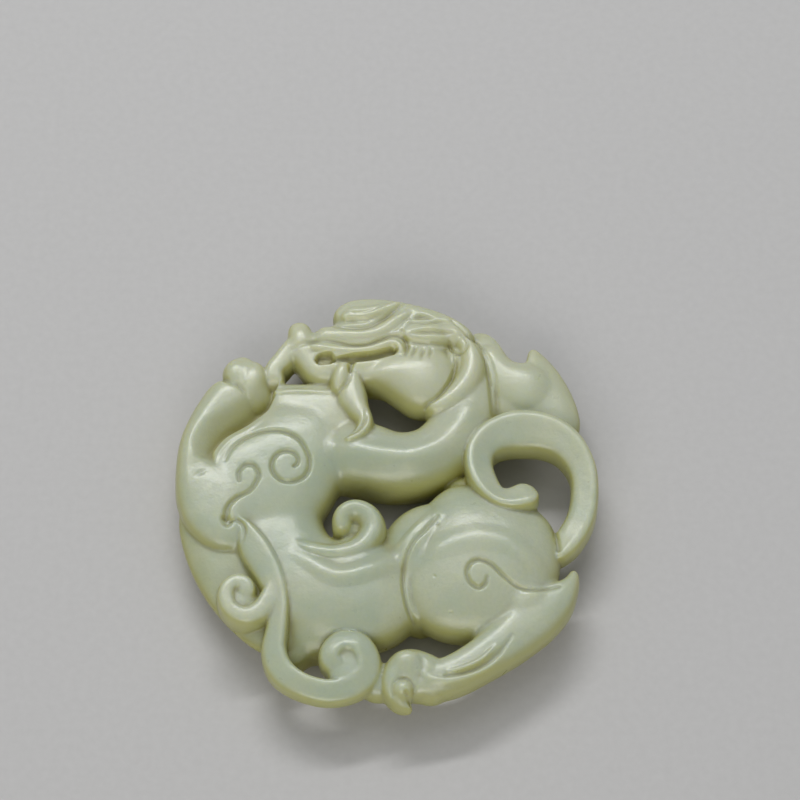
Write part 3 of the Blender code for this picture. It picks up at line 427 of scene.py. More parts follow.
def ribbon_forms():
    """The tail with its curl, the plate under the ribbons, and the ribbons with their scrolls."""
    return [
        limb("plate", spiral((0.0, 0.0), (21.9, 21.4), (170, 246), (7.0, 6.6), (6.6, 6.4),
                             (2.0, 2.4)), fullness=2.6),
        limb("tail", [(21.5, -9.0, 1.6, 7.0, 3.0), (24.0, -6.9, 2.0, 7.6, 2.8),
                      (26.1, -3.4, 2.0, 8.1, 2.8), (26.8, 0.8, 1.9, 8.4, 2.8),
                      (26.4, 4.4, 2.0, 8.6, 2.8), (24.5, 7.7, 2.4, 8.8, 2.8),
                      (21.6, 9.5, 2.8, 8.9, 2.8), (18.0, 9.9, 3.0, 9.0, 2.8),
                      (14.9, 8.9, 2.6, 9.2, 3.0), (12.9, 6.9, 2.2, 9.3, 3.4),
                      (12.4, 4.3, 2.0, 9.5, 4.0), (13.1, 1.5, 1.9, 9.7, 4.6),
                      (14.6, -0.7, 1.6, 9.8, 4.8), (16.3, -1.3, 1.8, 9.8, 4.8),
                      (18.2, -0.9, 2.1, 9.8, 4.8), (20.3, 0.1, 2.1, 9.6, 4.8)],
             fullness=3.4, tilt=-0.6, dish=0.3),
        limb("main_ribbon", [(-20.8, -3.8, 0.4, 8.4, 4.0), (-19.4, -5.4, 1.2, 8.7, 4.0),
                             (-18.0, -8.2, 2.1, 8.9, 4.0), (-16.5, -11.0, 2.1, 9.0, 4.0),
                             (-15.3, -13.8, 1.8, 9.0, 4.0), (-14.5, -16.8, 1.35, 8.9, 3.6),
                             (-14.8, -20.4, 1.55, 8.7, 3.4), (-15.1, -23.4, 1.75, 8.5, 3.2),
                             (-14.1, -26.2, 1.8, 8.3, 3.6), (-11.5, -28.3, 1.7, 8.2, 4.2),
                             (-8.0, -29.3, 1.7, 8.1, 4.4), (-4.9, -28.7, 1.75, 8.2, 4.4),
                             (-2.9, -27.0, 1.8, 8.4, 4.0), (-2.7, -24.6, 1.8, 8.6, 3.6),
                             (-3.9, -22.6, 1.8, 8.8, 3.4), (-6.0, -22.2, 1.75, 8.8, 3.4),
                             (-7.5, -23.5, 1.6, 8.8, 3.4), (-7.6, -25.1, 1.45, 8.7, 3.6),
                             (-5.9, -26.5, 1.1, 8.3, 4.0)], fullness=3.2, tilt=0.45, dish=0.2),
        dome("bottom_scroll_floor", (-5.3, -25.4), (3.0, 3.8), 8.25, 3.4, fullness=3.4),
        limb("foot_web", [(-4.0, -28.0, 2.0, 7.0, 3.2), (-0.9, -27.2, 2.7, 7.2, 3.2),
                          (1.6, -27.4, 2.2, 7.2, 3.4)]),
        dome("groin", (10.4, 1.8), (2.8, 2.4), 6.2, 0.6),
        limb("side_scroll", [(-15.1, -13.0, 1.1, 8.9, 4.0), (-15.7, -15.6, 1.5, 8.9, 4.0),
                             (-16.8, -17.6, 1.6, 8.9, 4.0), (-18.8, -18.6, 1.45, 8.9, 4.0),
                             (-20.7, -17.8, 1.3, 8.9, 4.0), (-21.6, -16.1, 1.25, 8.9, 4.0),
                             (-21.3, -14.3, 1.2, 8.9, 4.0), (-20.0, -13.5, 1.2, 8.9, 4.2),
                             (-18.9, -14.3, 1.25, 8.9, 4.6), (-19.1, -16.1, 1.2, 8.7, 5.0)],
             fullness=3.0, dish=0.15),
        dome("side_scroll_boss", (-19.4, -15.9), (2.0, 2.2), 8.3, 4.0),
        dome("centre_scroll_floor", (-4.4, -5.0), (2.3, 2.2), 7.7, 3.6),
        limb("centre_scroll", [(-13.0, -6.9, 0.7, 8.2, 4.0), (-10.6, -8.5, 1.2, 8.95, 4.0),
                               (-7.0, -9.3, 1.4, 9.3, 4.0), (-3.7, -8.2, 1.8, 9.3, 3.6),
                               (-2.1, -5.7, 1.9, 9.3, 3.2), (-2.7, -3.7, 1.8, 9.4, 3.2),
                               (-4.5, -2.8, 1.7, 9.4, 3.4), (-6.0, -3.8, 1.6, 9.2, 3.8),
                               (-6.0, -6.4, 1.2, 8.4, 4.2)], fullness=2.4, tilt=-0.3),
    ]


def joined(objects, name):
    """One object holding the meshes of all the given ones."""
    bpy.context.view_layer.update()
    bpy.ops.object.select_all(action="DESELECT")
    for obj in objects:
        obj.select_set(True)
    bpy.context.view_layer.objects.active = objects[0]
    bpy.ops.object.join()
    objects[0].name = name
    objects[0].data.name = name
    return objects[0]


def apply_modifier(obj, kind, **settings):
    """Adds a modifier with its settings and applies it."""
    modifier = obj.modifiers.new(kind.title(), kind)
    for key, value in settings.items():
        setattr(modifier, key, value)
    bpy.context.view_layer.objects.active = obj
    bpy.ops.object.modifier_apply(modifier=modifier.name)


def fused(objects, name, step, softness):
    """One skin over overlapping forms, with the creases between them softened."""
    obj = joined(objects, name)
    apply_modifier(obj, "REMESH", mode="VOXEL", voxel_size=step, adaptivity=0.0)
    passes = max(1, round((softness / step) ** 2))
    apply_modifier(obj, "SMOOTH", factor=0.5, iterations=passes)
    return obj


def distance_along(points, path):
    """Distance of plan points from a path, the side they lie on and the share run along it."""
    run = path_length(path)
    nearest = np.full(len(points), np.inf)
    side = np.zeros(len(points))
    share = np.zeros(len(points))
    for i in range(len(path) - 1):
        start, step = path[i, :2], path[i + 1, :2] - path[i, :2]
        if not step.any():
            continue
        away = points - start
        t = np.clip(away @ step / (step @ step), 0.0, 1.0)
        gap = away - t[:, None] * step
        distance = np.hypot(gap[:, 0], gap[:, 1])
        closer = distance < nearest
        nearest[closer] = distance[closer]
        side[closer] = np.sign(step[0] * away[closer, 1] - step[1] * away[closer, 0])
        share[closer] = (run[i] + t[closer] * (run[i + 1] - run[i])) / run[-1]
    return nearest, side, share


def upward(normals):
    """One on faces that look up, nought on walls and on the back."""
    t = np.clip((normals[:, 2] - 0.1) / 0.5, 0.0, 1.0)
    return t * t * (3 - 2 * t)


def groove(*rows, left=1.0, right=1.0, wall=1.0):
    """A carved stroke along rows of (x, y, width, depth); a depth below nought raises it.

    left and right widen or narrow the two flanks, and a wall below one makes them steeper.
    """
    return rows, left, right, wall


def stroke(co, normals, rows, left, right, wall):
    """Sinks the carved face along one groove."""
    path = smooth_path(rows)
    reach = path[:, 2].max() * max(left, right)
    lowest, highest = path[:, :2].min(axis=0) - reach, path[:, :2].max(axis=0) + reach
    near = np.flatnonzero(((co[:, :2] > lowest) & (co[:, :2] < highest)).all(axis=1)
                          & (normals[:, 2] > 0.1))
    if not len(near):
        return
    distance, side, share = distance_along(co[near, :2], path)
    run = path_length(path) / path_length(path)[-1]
    width = np.interp(share, run, path[:, 2]) * np.where(side > 0, left, right)
    depth = np.interp(share, run, path[:, 3])
    t = np.clip((1.0 - (distance / width) ** 2) / wall, 0.0, 1.0)
    co[near, 2] -= depth * t * t * upward(normals[near])


def carve(obj, lines):
    """Cuts the grooves and pits and raises the small relief on the carved face."""
    mesh = obj.data
    co = vertices_of(mesh) / GRID + CENTRE
    normals = normals_of(mesh)
    for rows, left, right, wall in lines:
        stroke(co, normals, rows, left, right, wall)
    mesh.vertices.foreach_set("co", ((co - CENTRE) * GRID).ravel())
    mesh.update()


def grooves():
    """The carved lines, pits and crests, each in rows of (x, y, width, depth)."""
    mouth = [
        groove((-9.2, 20.8, 1.05, 1.15), (-8.3, 20.8, 1.05, 1.15), right=1.15, wall=0.7),
        groove((-7.3, 20.7, 0.5, 0.7), (-5.0, 20.9, 0.65, 1.1), (-2.0, 21.2, 0.65, 1.15),
               (0.4, 21.8, 0.65, 1.0), left=0.8, right=1.7, wall=0.8),
        groove((-5.0, 20.0, 0.7, 0.7), (-5.15, 19.4, 0.55, 0.7), (-5.3, 18.5, 0.35, 0.5)),
    ]
    snout = [
        groove((-13.3, 22.4, 0.5, 0.1), (-11.6, 23.2, 0.6, 0.25), (-9.4, 23.7, 0.6, 0.4),
               (-7.0, 23.3, 0.6, 0.45), (-5.0, 22.8, 0.6, 0.5), (-3.0, 22.8, 0.6, 0.5),
               (-1.0, 23.5, 0.55, 0.5), (0.6, 24.1, 0.5, 0.45), (2.1, 23.7, 0.5, 0.45),
               (2.7, 22.4, 0.5, 0.45), (2.4, 20.8, 0.45, 0.2)),
        groove((-10.2, 24.6, 0.5, 0.05), (-7.0, 23.8, 0.5, 0.12), (-4.0, 23.5, 0.5, 0.12),
               (-1.2, 24.0, 0.5, 0.15), (1.0, 25.2, 0.5, 0.2), (2.6, 26.9, 0.5, 0.2),
               (3.6, 28.1, 0.5, 0.05)),
    ]
    brows = [
        groove((-8.2, 26.6, 0.6, 0.2), (-6.5, 25.8, 0.7, 0.38), (-4.6, 25.5, 0.75, 0.45),
               (-3.0, 25.6, 0.75, 0.45), (-1.4, 26.4, 0.7, 0.45), (0.2, 27.7, 0.6, 0.38),
               (1.8, 29.2, 0.5, 0.25), (2.6, 30.0, 0.4, 0.1)),
        groove((-6.6, 28.4, 0.4, 0.08), (-4.6, 27.9, 0.45, 0.18), (-2.8, 28.1, 0.45, 0.18),
               (-0.8, 29.0, 0.4, 0.15), (0.4, 29.8, 0.4, 0.05)),
        groove((1.9, 25.2, 0.5, 0.1), (3.2, 26.2, 0.5, 0.3), (5.0, 26.1, 0.5, 0.3),
               (7.4, 26.4, 0.5, 0.25), (9.2, 26.1, 0.4, 0.1)),
        groove((3.3, 26.9, 0.5, 0.2), (4.6, 27.2, 0.8, 0.45), (6.1, 27.0, 0.5, 0.2)),
        groove((6.4, 26.9, 0.9, -0.1), (8.0, 26.7, 0.8, -0.15)),
    ]
    eye = [
        groove((2.6, 24.4, 1.0, -0.15), (5.0, 24.6, 1.4, -0.35), (7.4, 24.7, 1.4, -0.35),
               (9.4, 24.8, 0.8, -0.15)),
        groove((3.5, 24.4, 0.45, 0.2), (5.0, 24.5, 0.65, 0.55), (7.0, 24.6, 0.65, 0.55),
               (8.9, 24.7, 0.45, 0.2)),
        groove((2.0, 24.9, 0.4, 0.25), (2.4, 23.6, 0.45, 0.3), (4.0, 23.0, 0.45, 0.3),
               (6.4, 22.9, 0.45, 0.3), (8.4, 23.2, 0.4, 0.25)),
        groove((3.9, 22.5, 0.35, 0.1), (3.6, 21.5, 0.5, 0.4), (3.1, 20.3, 0.35, 0.1)),
        groove((5.0, 22.2, 0.35, 0.1), (4.8, 21.2, 0.5, 0.4), (4.5, 20.0, 0.35, 0.1)),
        groove((6.0, 22.2, 0.35, 0.1), (5.9, 21.3, 0.45, 0.3), (5.7, 20.3, 0.35, 0.1)),
        groove((8.5, 23.6, 0.35, 0.2), (8.9, 22.4, 0.4, 0.35), (9.6, 21.6, 0.4, 0.35),
               (10.4, 21.5, 0.4, 0.35), (11.0, 22.4, 0.4, 0.35), (10.8, 23.5, 0.35, 0.25),
               (10.2, 24.4, 0.35, 0.1)),
    ]
    mane = [
        groove((9.3, 21.4, 0.4, 0.2), (9.4, 20.0, 0.5, 0.35), (9.0, 18.0, 0.5, 0.4),
               (8.1, 16.0, 0.5, 0.4), (6.8, 14.3, 0.5, 0.4), (5.2, 13.2, 0.5, 0.4)),
        groove((8.9, 26.8, 0.4, 0.2), (10.6, 25.0, 0.5, 0.3), (12.5, 22.6, 0.5, 0.35),
               (13.6, 20.0, 0.5, 0.35), (14.0, 17.4, 0.5, 0.35), (14.3, 14.4, 0.5, 0.35),
               (14.4, 12.4, 0.5, 0.2)),
        groove((10.6, 25.9, 0.4, 0.05), (12.4, 24.0, 0.5, 0.15), (13.9, 21.4, 0.5, 0.2),
               (14.7, 18.6, 0.5, 0.2), (15.0, 15.6, 0.5, 0.15), (15.2, 12.6, 0.5, 0.1)),
        groove((-3.1, 12.0, 0.4, 0.1), (-3.1, 10.4, 0.45, 0.4), (-4.0, 9.0, 0.45, 0.45),
               (-5.6, 8.1, 0.4, 0.2)),
        groove((-5.1, 18.4, 0.4, 0.1), (-5.4, 17.2, 0.45, 0.25), (-6.1, 16.0, 0.45, 0.25),
               (-7.0, 15.1, 0.4, 0.1)),
    ]
    shoulder = [
        groove((-22.2, 4.8, 0.4, 0.1), (-21.6, 6.2, 0.45, 0.25), (-20.5, 7.5, 0.5, 0.35),
               (-18.0, 8.9, 0.5, 0.4), (-15.0, 9.2, 0.5, 0.45), (-12.3, 8.0, 0.5, 0.45),
               (-10.9, 5.6, 0.5, 0.45),
               *spiral((-13.4, 4.2), (2.7, 2.9), (0, -100), (0.5, 0.5), (0.45, 0.45), steps=4),
               *spiral((-13.4, 4.2), (2.8, 0.8), (-125, -400), (0.5, 0.4), (0.45, 0.35),
                       steps=9)),
        groove((-20.2, 1.6, 0.45, 0.2), (-20.3, 2.8, 0.45, 0.35), (-19.4, 3.9, 0.5, 0.4),
               (-18.2, 3.7, 0.5, 0.4), (-17.6, 2.2, 0.5, 0.4), (-18.6, 0.2, 0.5, 0.4),
               (-20.4, -0.9, 0.5, 0.5), (-21.6, -2.4, 0.6, 0.55), (-21.9, -4.0, 0.7, 0.65)),
        groove((-21.9, -4.4, 1.0, 0.55), (-21.7, -4.8, 1.0, 0.6)),
        groove((-21.2, -4.5, 0.45, 0.5), (-20.4, -4.4, 0.45, 0.4), (-19.6, -5.0, 0.45, 0.4),
               (-19.3, -6.2, 0.45, 0.3), (-19.6, -7.6, 0.4, 0.1)),
        groove((-23.4, 4.2, 0.15, 0.05), (-23.9, 5.2, 0.4, 0.4), (-24.1, 6.9, 0.8, 1.0),
               (-22.4, 9.2, 0.9, 1.5), (-19.4, 11.3, 0.9, 1.7), (-17.2, 13.2, 0.9, 1.5),
               (-16.0, 15.6, 0.8, 1.0), left=4.0, right=0.7),
        groove((-23.6, 4.4, 0.4, -0.05), (-23.0, 6.4, 0.5, -0.15), (-21.4, 8.3, 0.5, -0.15),
               (-19.0, 9.9, 0.5, -0.15), (-17.2, 11.4, 0.4, -0.05)),
        groove((-26.6, 5.4, 0.5, 0.02), (-25.4, 5.5, 0.6, 0.1), (-24.8, 5.6, 0.4, 0.02)),
        groove((-26.3, 2.2, 0.5, 0.02), (-25.4, 2.8, 0.6, 0.1), (-24.6, 3.2, 0.4, 0.02)),
        groove((-15.6, 15.9, 0.6, -0.15), (-12.0, 16.0, 0.6, -0.25), (-8.2, 15.8, 0.6, -0.15)),
    ]
    paw = [
        groove((-23.2, 18.2, 0.7, 0.8), (-21.8, 17.0, 0.6, 0.35), (-20.8, 16.5, 0.6, 0.3),
               (-20.0, 15.7, 0.5, 0.25), (-19.4, 14.8, 0.4, 0.05)),
        groove((-20.0, 20.4, 0.7, 0.02), (-19.8, 18.8, 0.8, 0.08), (-20.0, 16.6, 0.5, 0.08)),
    ]
    crests = [
        groove((-7.0, 7.0, 2.2, -0.25), (-1.0, 5.5, 2.2, -0.35), (3.4, 5.0, 2.2, -0.35),
               (8.0, 7.2, 2.2, -0.35), (11.0, 12.0, 2.2, -0.25)),
        groove((-13.0, -8.6, 1.6, -0.02), (-10.4, -10.8, 1.8, -0.3), (-6.0, -13.2, 2.0, -0.45),
               (1.0, -10.2, 2.0, -0.45), (6.4, -3.6, 1.6, -0.25)),
    ]
    haunch = [
        groove((13.2, -13.6, 0.4, 0.2), (12.9, -14.6, 0.5, 0.4), (12.0, -15.1, 0.5, 0.45),
               (10.9, -14.3, 0.5, 0.45), (10.5, -12.9, 0.5, 0.45), (11.0, -11.7, 0.5, 0.45),
               (12.2, -11.2, 0.5, 0.45), (13.7, -11.8, 0.5, 0.45), (15.4, -13.4, 0.5, 0.45),
               (17.2, -14.7, 0.5, 0.4), (19.6, -15.1, 0.5, 0.35), (22.8, -14.3, 0.5, 0.25)),
        groove((6.6, -4.0, 0.5, 0.2), (5.0, -6.2, 0.5, 0.35), (3.4, -8.0, 0.5, 0.35),
               (2.3, -10.6, 0.5, 0.35), (2.0, -13.6, 0.5, 0.4), (2.5, -16.8, 0.5, 0.45),
               (3.6, -19.0, 0.6, 0.5)),
        groove((5.4, -3.8, 0.6, -0.1), (3.4, -6.0, 0.7, -0.2), (1.6, -8.2, 0.7, -0.1)),
        groove((22.2, -4.4, 0.4, 0.2), (22.7, -6.0, 0.5, 0.4), (23.0, -8.4, 0.5, 0.3)),
        groove((4.4, -10.4, 2.0, -0.05), (7.6, -8.8, 2.4, -0.25), (12.0, -7.8, 2.5, -0.26),
               (16.2, -8.6, 2.3, -0.28), (19.4, -11.0, 1.9, -0.28), (21.4, -13.4, 1.4, -0.05)),
    ]
    foot = [
        groove((8.0, -26.9, 0.4, -0.1), (10.0, -26.4, 0.5, -0.3), (12.2, -25.3, 0.5, -0.35),
               (14.2, -23.3, 0.4, -0.1)),
        groove((7.6, -27.5, 0.5, 0.2), (10.2, -27.0, 0.6, 0.4), (12.6, -25.9, 0.6, 0.4),
               (14.6, -24.2, 0.6, 0.35), (16.4, -21.8, 0.5, 0.1)),
        groove((4.4, -27.0, 0.6, -0.05), (5.6, -27.9, 0.8, -0.2), (7.6, -28.3, 0.8, -0.3),
               (10.0, -27.8, 0.8, -0.3), (13.0, -26.4, 0.7, -0.25), (15.4, -24.4, 0.5, -0.05)),
        groove(*spiral((2.0, -29.4), (1.5, 1.5), (205, -20), (0.4, 0.4), (0.2, 0.25), steps=6)),
        groove((2.4, -30.0, 0.5, 0.5), (3.5, -31.2, 0.6, 1.0)),
        groove((4.2, -24.8, 0.5, 0.05), (4.6, -26.0, 0.6, 0.15), (4.1, -27.6, 0.6, 0.12),
               (3.8, -29.0, 0.5, 0.1)),
    ]
    pits = [
        groove((6.6, -5.4, 0.26, 0.14), (6.8, -5.4, 0.26, 0.14)),
        groove((6.1, -13.2, 0.24, 0.12), (6.3, -13.3, 0.24, 0.12)),
        groove((8.2, -18.2, 0.24, 0.12), (8.4, -18.2, 0.24, 0.12)),
    ]
    return mouth + snout + brows + eye + mane + shoulder + paw + crests + haunch + foot + pits


def flatten_back(obj):
    """Cuts the back off in the plane that the pendant lies on."""
    bpy.context.view_layer.objects.active = obj
    bpy.ops.object.mode_set(mode="EDIT")
    bpy.ops.mesh.select_all(action="SELECT")
    bpy.ops.mesh.bisect(plane_co=(0, 0, 0), plane_no=(0, 0, 1), clear_inner=True, use_fill=True)
    bpy.ops.mesh.select_all(action="SELECT")
    bpy.ops.mesh.quads_convert_to_tris()
    bpy.ops.object.mode_set(mode="OBJECT")


def edges_of(mesh):
    """The two vertices of each of a mesh's edges."""
    edges = np.empty(len(mesh.edges) * 2, dtype=np.int64)
    mesh.edges.foreach_get("vertices", edges)
    return edges.reshape(-1, 2)


def softened(values, edges, passes):
    """Each vertex's values averaged with its neighbours', again and again."""
    count = np.bincount(edges.ravel(), minlength=len(values))[:, None]
    for _ in range(passes):
        total = np.zeros_like(values)
        for a, b in ((0, 1), (1, 0)):
            for column in range(values.shape[1]):
                total[:, column] += np.bincount(
                    edges[:, a], weights=values[edges[:, b], column], minlength=len(values))
        values = 0.5 * values + 0.5 * total / np.maximum(count, 1)
    return values


def mark(obj, name, values):
    """Writes one number on each vertex, for the material to read."""
    attribute = obj.data.attributes.new(name, "FLOAT", "POINT")
    attribute.data.foreach_set("value", values.astype(np.float32))


def surroundings(co):
    """Height of the stone around each vertex, averaged over a few millimetres of the plan."""
    corner = co[:, :2].min(axis=0) - MAP_MARGIN
    size = np.ceil((co[:, :2].max(axis=0) + MAP_MARGIN - corner) / MAP_CELL).astype(int) + 1
    place = ((co[:, :2] - corner) / MAP_CELL).astype(int)
    heights = np.zeros(size)
    np.maximum.at(heights, (place[:, 0], place[:, 1]), co[:, 2])
    for _ in range(MAP_ROUNDS):
        for axis in (0, 1):
            heights = (np.roll(heights, 1, axis) + 2 * heights + np.roll(heights, -1, axis)) / 4
    return heights[place[:, 0], place[:, 1]]


def mark_surface(obj):
    """Writes on each vertex its height, its steepness and how deep it lies in the carving."""
    mesh = obj.data
    co, normals = vertices_of(mesh), normals_of(mesh)
    mark(obj, "sunk", np.clip((surroundings(co) - co[:, 2]) / DEEPEST_OPENING, 0.0, 1.0))
    edges = edges_of(mesh)
    near = softened(co, edges, CREASE_ROUNDS)
    wide = softened(near, edges, HOLLOW_ROUNDS)
    fine = ((near - co) * normals).sum(axis=1)
    broad = ((wide - co) * normals).sum(axis=1)
    fine = softened(fine[:, None], edges, 2)[:, 0]
    broad = softened(broad[:, None], edges, 8)[:, 0]
    mark(obj, "fine_hollow", np.clip(fine / DEEPEST_CREASE, -1.0, 1.0))
    mark(obj, "broad_hollow", np.clip(broad / DEEPEST_HOLLOW, -1.0, 1.0))
    mark(obj, "height", np.clip(co[:, 2] / (high.z - low.z), 0.0, 1.0))
    mark(obj, "steep", np.clip(1.0 - normals[:, 2], 0.0, 1.0))


def sculpt():
    """The whole dragon as one closed mesh, carved, with its back ground flat."""
    body = fused(body_forms(), "body", FORM_STEP, BODY_SOFTNESS)
    thigh = fused(thigh_forms(), "thigh", FORM_STEP, THIGH_SOFTNESS)
    paw = fused(paw_forms(), "paw", FORM_STEP, PAW_SOFTNESS)
    foot = fused(foot_forms(), "foot", FORM_STEP, PAW_SOFTNESS)
    head = fused(head_forms(), "head", FORM_STEP, HEAD_SOFTNESS)
    mane = fused(mane_forms(), "mane", FORM_STEP, PAW_SOFTNESS)
    forms = [body, thigh, paw, foot, head, mane] + crisp_head_forms() + ribbon_forms()
    dragon = fused(forms, "dragon_carving", SKIN_STEP, POLISH_SOFTNESS)
    carve(dragon, grooves())
    apply_modifier(dragon, "SMOOTH", factor=0.5, iterations=LAST_POLISH_PASSES)
    flatten_back(dragon)
    triangles = len(dragon.data.polygons)
    if triangles > MOST_TRIANGLES:
        apply_modifier(dragon, "DECIMATE", ratio=MOST_TRIANGLES / triangles)
    settled = vertices_of(dragon.data)
    settled[:, 2] = np.maximum(settled[:, 2], 0.0)
    dragon.data.vertices.foreach_set("co", settled.astype(np.float32).ravel())
    dragon.data.update()
    dragon.data.shade_smooth()
    mark_surface(dragon)
    return dragon


class Wire:
    """A number or a colour on its way through a material's nodes."""

    def __init__(self, tree, socket):
        self.tree = tree
        self.socket = socket

    def maths(self, operation, first, second):
        return node(self.tree, "ShaderNodeMath", {"operation": operation}, {0: first, 1: second})

    def __add__(self, other):
        return self.maths("ADD", self, other)

    def __rsub__(self, other):
        return self.maths("SUBTRACT", other, self)

    def __mul__(self, other):
        return self.maths("MULTIPLY", self, other)

    __radd__ = __add__
    __rmul__ = __mul__

    def between(self, start, end):
        """Nought at start, one at end, and a smooth step from one to the other."""
        return node(self.tree, "ShaderNodeMapRange", {"interpolation_type": "SMOOTHSTEP"},
                    {"Value": self, "From Min": start, "From Max": end})


def node(tree, kind, settings, sockets, output=0):
    """A node with its settings, its sockets fed by numbers, colours or wires, and one output."""
    made = tree.nodes.new(kind)
    for key, value in settings.items():
        setattr(made, key, value)
    for key, value in sockets.items():
        if isinstance(value, Wire):
            tree.links.new(value.socket, made.inputs[key])
        else:
            made.inputs[key].default_value = value
    return Wire(tree, made.outputs[output])


def mixed(tree, first, second, factor):
    """Two colours mixed by a factor."""
    return node(tree, "ShaderNodeMix", {"data_type": "RGBA"},
                {0: factor, 6: first, 7: second}, output=2)


def new_material(name):
    """A material, with its node tree and its shader."""
    material = bpy.data.materials.new(name)
    material.use_nodes = True
    return material, material.node_tree, material.node_tree.nodes["Principled BSDF"]


def feed(tree, shader, **wires):
    """Links wires to the shader's inputs of the same names."""
    for name, wire in wires.items():
        tree.links.new(wire.socket, shader.inputs[name.replace("_", " ")])


def jade_material():
    """Polished pale celadon nephrite: cloudy and felted, with painted olive shade and glow on its
    walls and in its hollows, and a cream head that is partly painted light.
    """
    material, tree, shader = new_material("celadon_nephrite")
    place = node(tree, "ShaderNodeTexCoord", {}, {}, output=3)

    def noise(scale, detail, roughness=0.5, distortion=0.0):
        return node(tree, "ShaderNodeTexNoise", {},
                    {"Vector": place, "Scale": scale, "Detail": detail, "Roughness": roughness,
                     "Distortion": distortion})

    def marked(name):
        return node(tree, "ShaderNodeAttribute", {"attribute_name": name}, {}, output=2)

    clouds = noise(75.0, 3.0, 0.55, 0.6).between(0.36, 0.66)
    patches = noise(260.0, 3.0, 0.6, 0.3).between(0.35, 0.70)
    felt = noise(1900.0, 4.0, 0.65).between(0.30, 0.75)
    # Fine creases: brown, partly staining and partly painted shade; they are also rougher
    fine = marked("fine_hollow").between(0.08, 0.80)
    # Painted shade: olive in the broad hollows of the carving
    broad = marked("broad_hollow").between(0.10, 0.90)
    # Painted shade and glow: olive, stronger the lower the surface lies
    low_wall_shade = 1.0 - marked("height").between(0.20, 0.80)
    # Painted shade and glow: olive where the surface lies deep below its surroundings
    sunk = marked("sunk").between(0.02, 0.60)
    # Painted shade and glow: the steeper the wall, the yellower
    steep = marked("steep").between(0.04, 0.60)
    upward_in_plan = node(tree, "ShaderNodeSeparateXYZ", {}, {"Vector": place}, output=1)
    # Head end paler and creamier: partly the stone's own tone, partly painted light where the
    # head faces the lamps
    head_tone_and_light = upward_in_plan.between(0.004, 0.022)
    dots = node(tree, "ShaderNodeTexVoronoi", {}, {"Vector": place, "Scale": 420.0})
    specks = (1.0 - dots.between(0.03, 0.09)) * noise(190.0, 1.0).between(0.56, 0.62)

    # Stone tone first, then painted shade and glow on walls, openings, hollows and creases, and
    # painted light on the head
    colour = mixed(tree, GREEN_STONE, PALE_STONE, clouds)
    for tint, amount in ((WARM_PATCH, patches * 0.35), (GREEN_FELT, felt * 0.26),
                         (CREAM_AND_LIT_HEAD, head_tone_and_light * 0.45), (YELLOW_FLANK_SHADE, steep * 0.80),
                         (OLIVE_LOW_SHADE, low_wall_shade * 0.85), (OLIVE_OPENING_SHADE, sunk * 0.80),
                         (OLIVE_HOLLOW_SHADE, broad * 0.50), (BROWN_CREASE_STAIN_AND_SHADE, fine * 0.28),
                         (BROWN_SPECK, specks * 0.3)):
        colour = mixed(tree, colour, tint, amount)

    gloss = 0.24 + 0.12 * noise(600.0, 3.0) + 0.20 * fine
    swell = noise(2600.0, 3.0) + 1.2 * noise(900.0, 2.0) + 3.0 * noise(300.0, 2.0)
    bumps = node(tree, "ShaderNodeBump", {},
                 {"Strength": BUMP_STRENGTH, "Distance": BUMP_DISTANCE, "Height": swell})
    feed(tree, shader, Base_Color=colour, Roughness=gloss, Normal=bumps)
    shader.inputs["IOR"].default_value = JADE_IOR
    shader.inputs["Subsurface Weight"].default_value = GLOW_WEIGHT
    shader.inputs["Subsurface Radius"].default_value = GLOW_RADIUS
    shader.inputs["Subsurface Scale"].default_value = GLOW_SCALE
    shader.inputs["Coat Weight"].default_value = WAX_WEIGHT
    shader.inputs["Coat Roughness"].default_value = WAX_ROUGHNESS
    return material


def floor_material():
    """Plain pale paper."""
    material, tree, shader = new_material("pale_floor")
    place = node(tree, "ShaderNodeTexCoord", {}, {}, output=3)
    grain = node(tree, "ShaderNodeTexNoise", {}, {"Vector": place, "Scale": 900.0, "Detail": 3.0})
    colour = mixed(tree, DULL_PAPER, LIGHT_PAPER, grain)
    feed(tree, shader, Base_Color=colour)
    shader.inputs["Roughness"].default_value = 0.75
    return material


def dress(dragon):
    """Gives the carving its stone and puts it in the place of the frame's solid."""
    dragon.data.materials.clear()
    dragon.data.materials.append(jade_material())
    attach(dragon, "root")
    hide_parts(NODE)


def lay_floor():
    """A plain sheet under the pendant."""
    bpy.ops.mesh.primitive_plane_add(size=3.0, location=(0.0, 0.0, low.z))
    floor = bpy.context.object
    floor.name = "floor"
    floor.data.materials.append(floor_material())


def soft_light(name, place, size, power, colour):
    """An oval lamp, of size (width, height), that faces the pendant."""
    lamp = bpy.data.lights.new(name, "AREA")
    lamp.shape = "ELLIPSE"
    lamp.size, lamp.size_y = size
    lamp.energy = power
    lamp.color = colour
    obj = bpy.data.objects.new(name, lamp)
    bpy.context.scene.collection.objects.link(obj)
    obj.location = place
    obj.rotation_euler = (-Vector(place)).to_track_quat("-Z", "Y").to_euler()


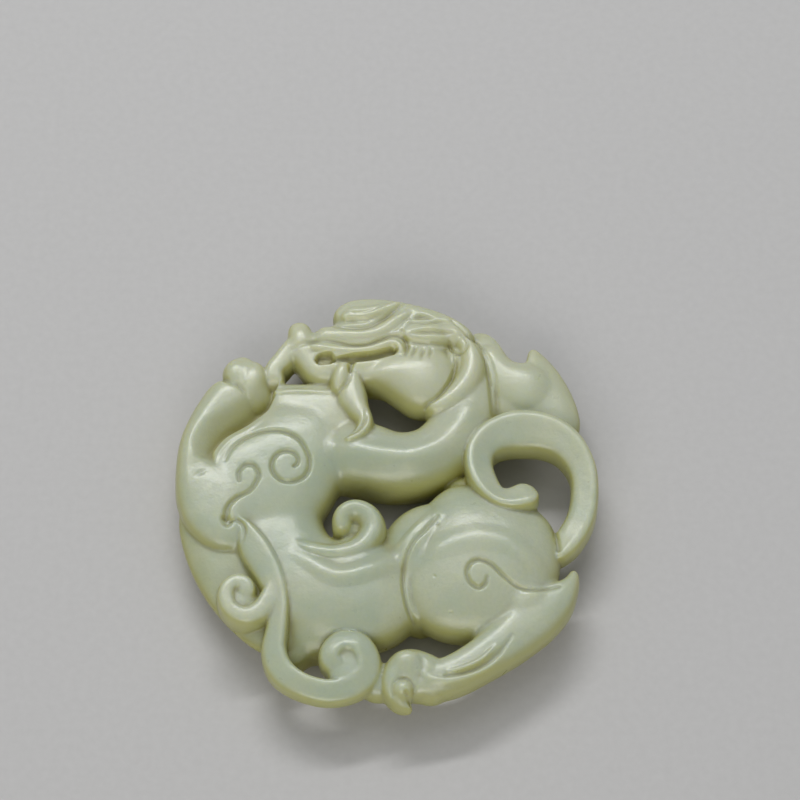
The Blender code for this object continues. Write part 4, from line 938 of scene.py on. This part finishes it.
def light_the_studio():
    """A long narrow lamp behind the pendant, a broad one higher up and a wide one in front."""
    soft_light("window", (-0.08, 0.40, 0.50), (0.50, 0.06), 1.3, (0.98, 0.99, 1.0))
    soft_light("ceiling", (-0.05, 0.45, 0.85), (0.90, 0.80), 1.5, (0.98, 0.99, 1.0))
    soft_light("front_card", (-0.10, -0.60, 0.40), (0.60, 0.40), 1.6, (1.0, 0.98, 0.94))
    world = bpy.data.worlds.new("studio")
    bpy.context.scene.world = world
    world.use_nodes = True
    sky = world.node_tree.nodes["Background"]
    sky.inputs["Color"].default_value = SKY
    sky.inputs["Strength"].default_value = 0.25


def place_camera():
    """Looks down on the pendant so that its middle falls on the photograph's own pixel."""
    tip = math.radians(CAMERA_ELEVATION)
    aim = Vector((0.0, 0.0, AIM_HEIGHT)) - Vector(CENTRE[:2] * GRID[:2]).to_3d()
    back = Vector((0.0, -math.cos(tip), math.sin(tip)))
    ahead = -back
    right = Vector((1.0, 0.0, 0.0))
    up = right.cross(ahead)
    pitch = math.atan((AIM_PIXEL_Y - FRAME_PIXELS / 2) / FOCAL_PIXELS)
    yaw = math.atan((FRAME_PIXELS / 2 - AIM_PIXEL_X) / FOCAL_PIXELS)
    ahead = math.cos(pitch) * ahead + math.sin(pitch) * up
    up = right.cross(ahead)
    ahead = math.cos(yaw) * ahead + math.sin(yaw) * right
    right = ahead.cross(up)
    data = bpy.data.cameras.new("camera")
    data.sensor_width = SENSOR_MM
    data.lens = SENSOR_MM * FOCAL_PIXELS / FRAME_PIXELS
    data.clip_start = 0.01
    camera = bpy.data.objects.new("camera", data)
    bpy.context.scene.collection.objects.link(camera)
    turn = Matrix((right, up, -ahead)).transposed().to_4x4()
    camera.matrix_world = Matrix.Translation(aim + CAMERA_DISTANCE * back) @ turn
    bpy.context.scene.camera = camera


def main():
    """Builds the scene: the carving, floor, lamps and camera."""
    bpy.ops.object.select_all(action="DESELECT")
    dress(sculpt())
    lay_floor()
    light_the_studio()
    place_camera()
    bpy.context.scene.view_settings.view_transform = "Standard"


main()
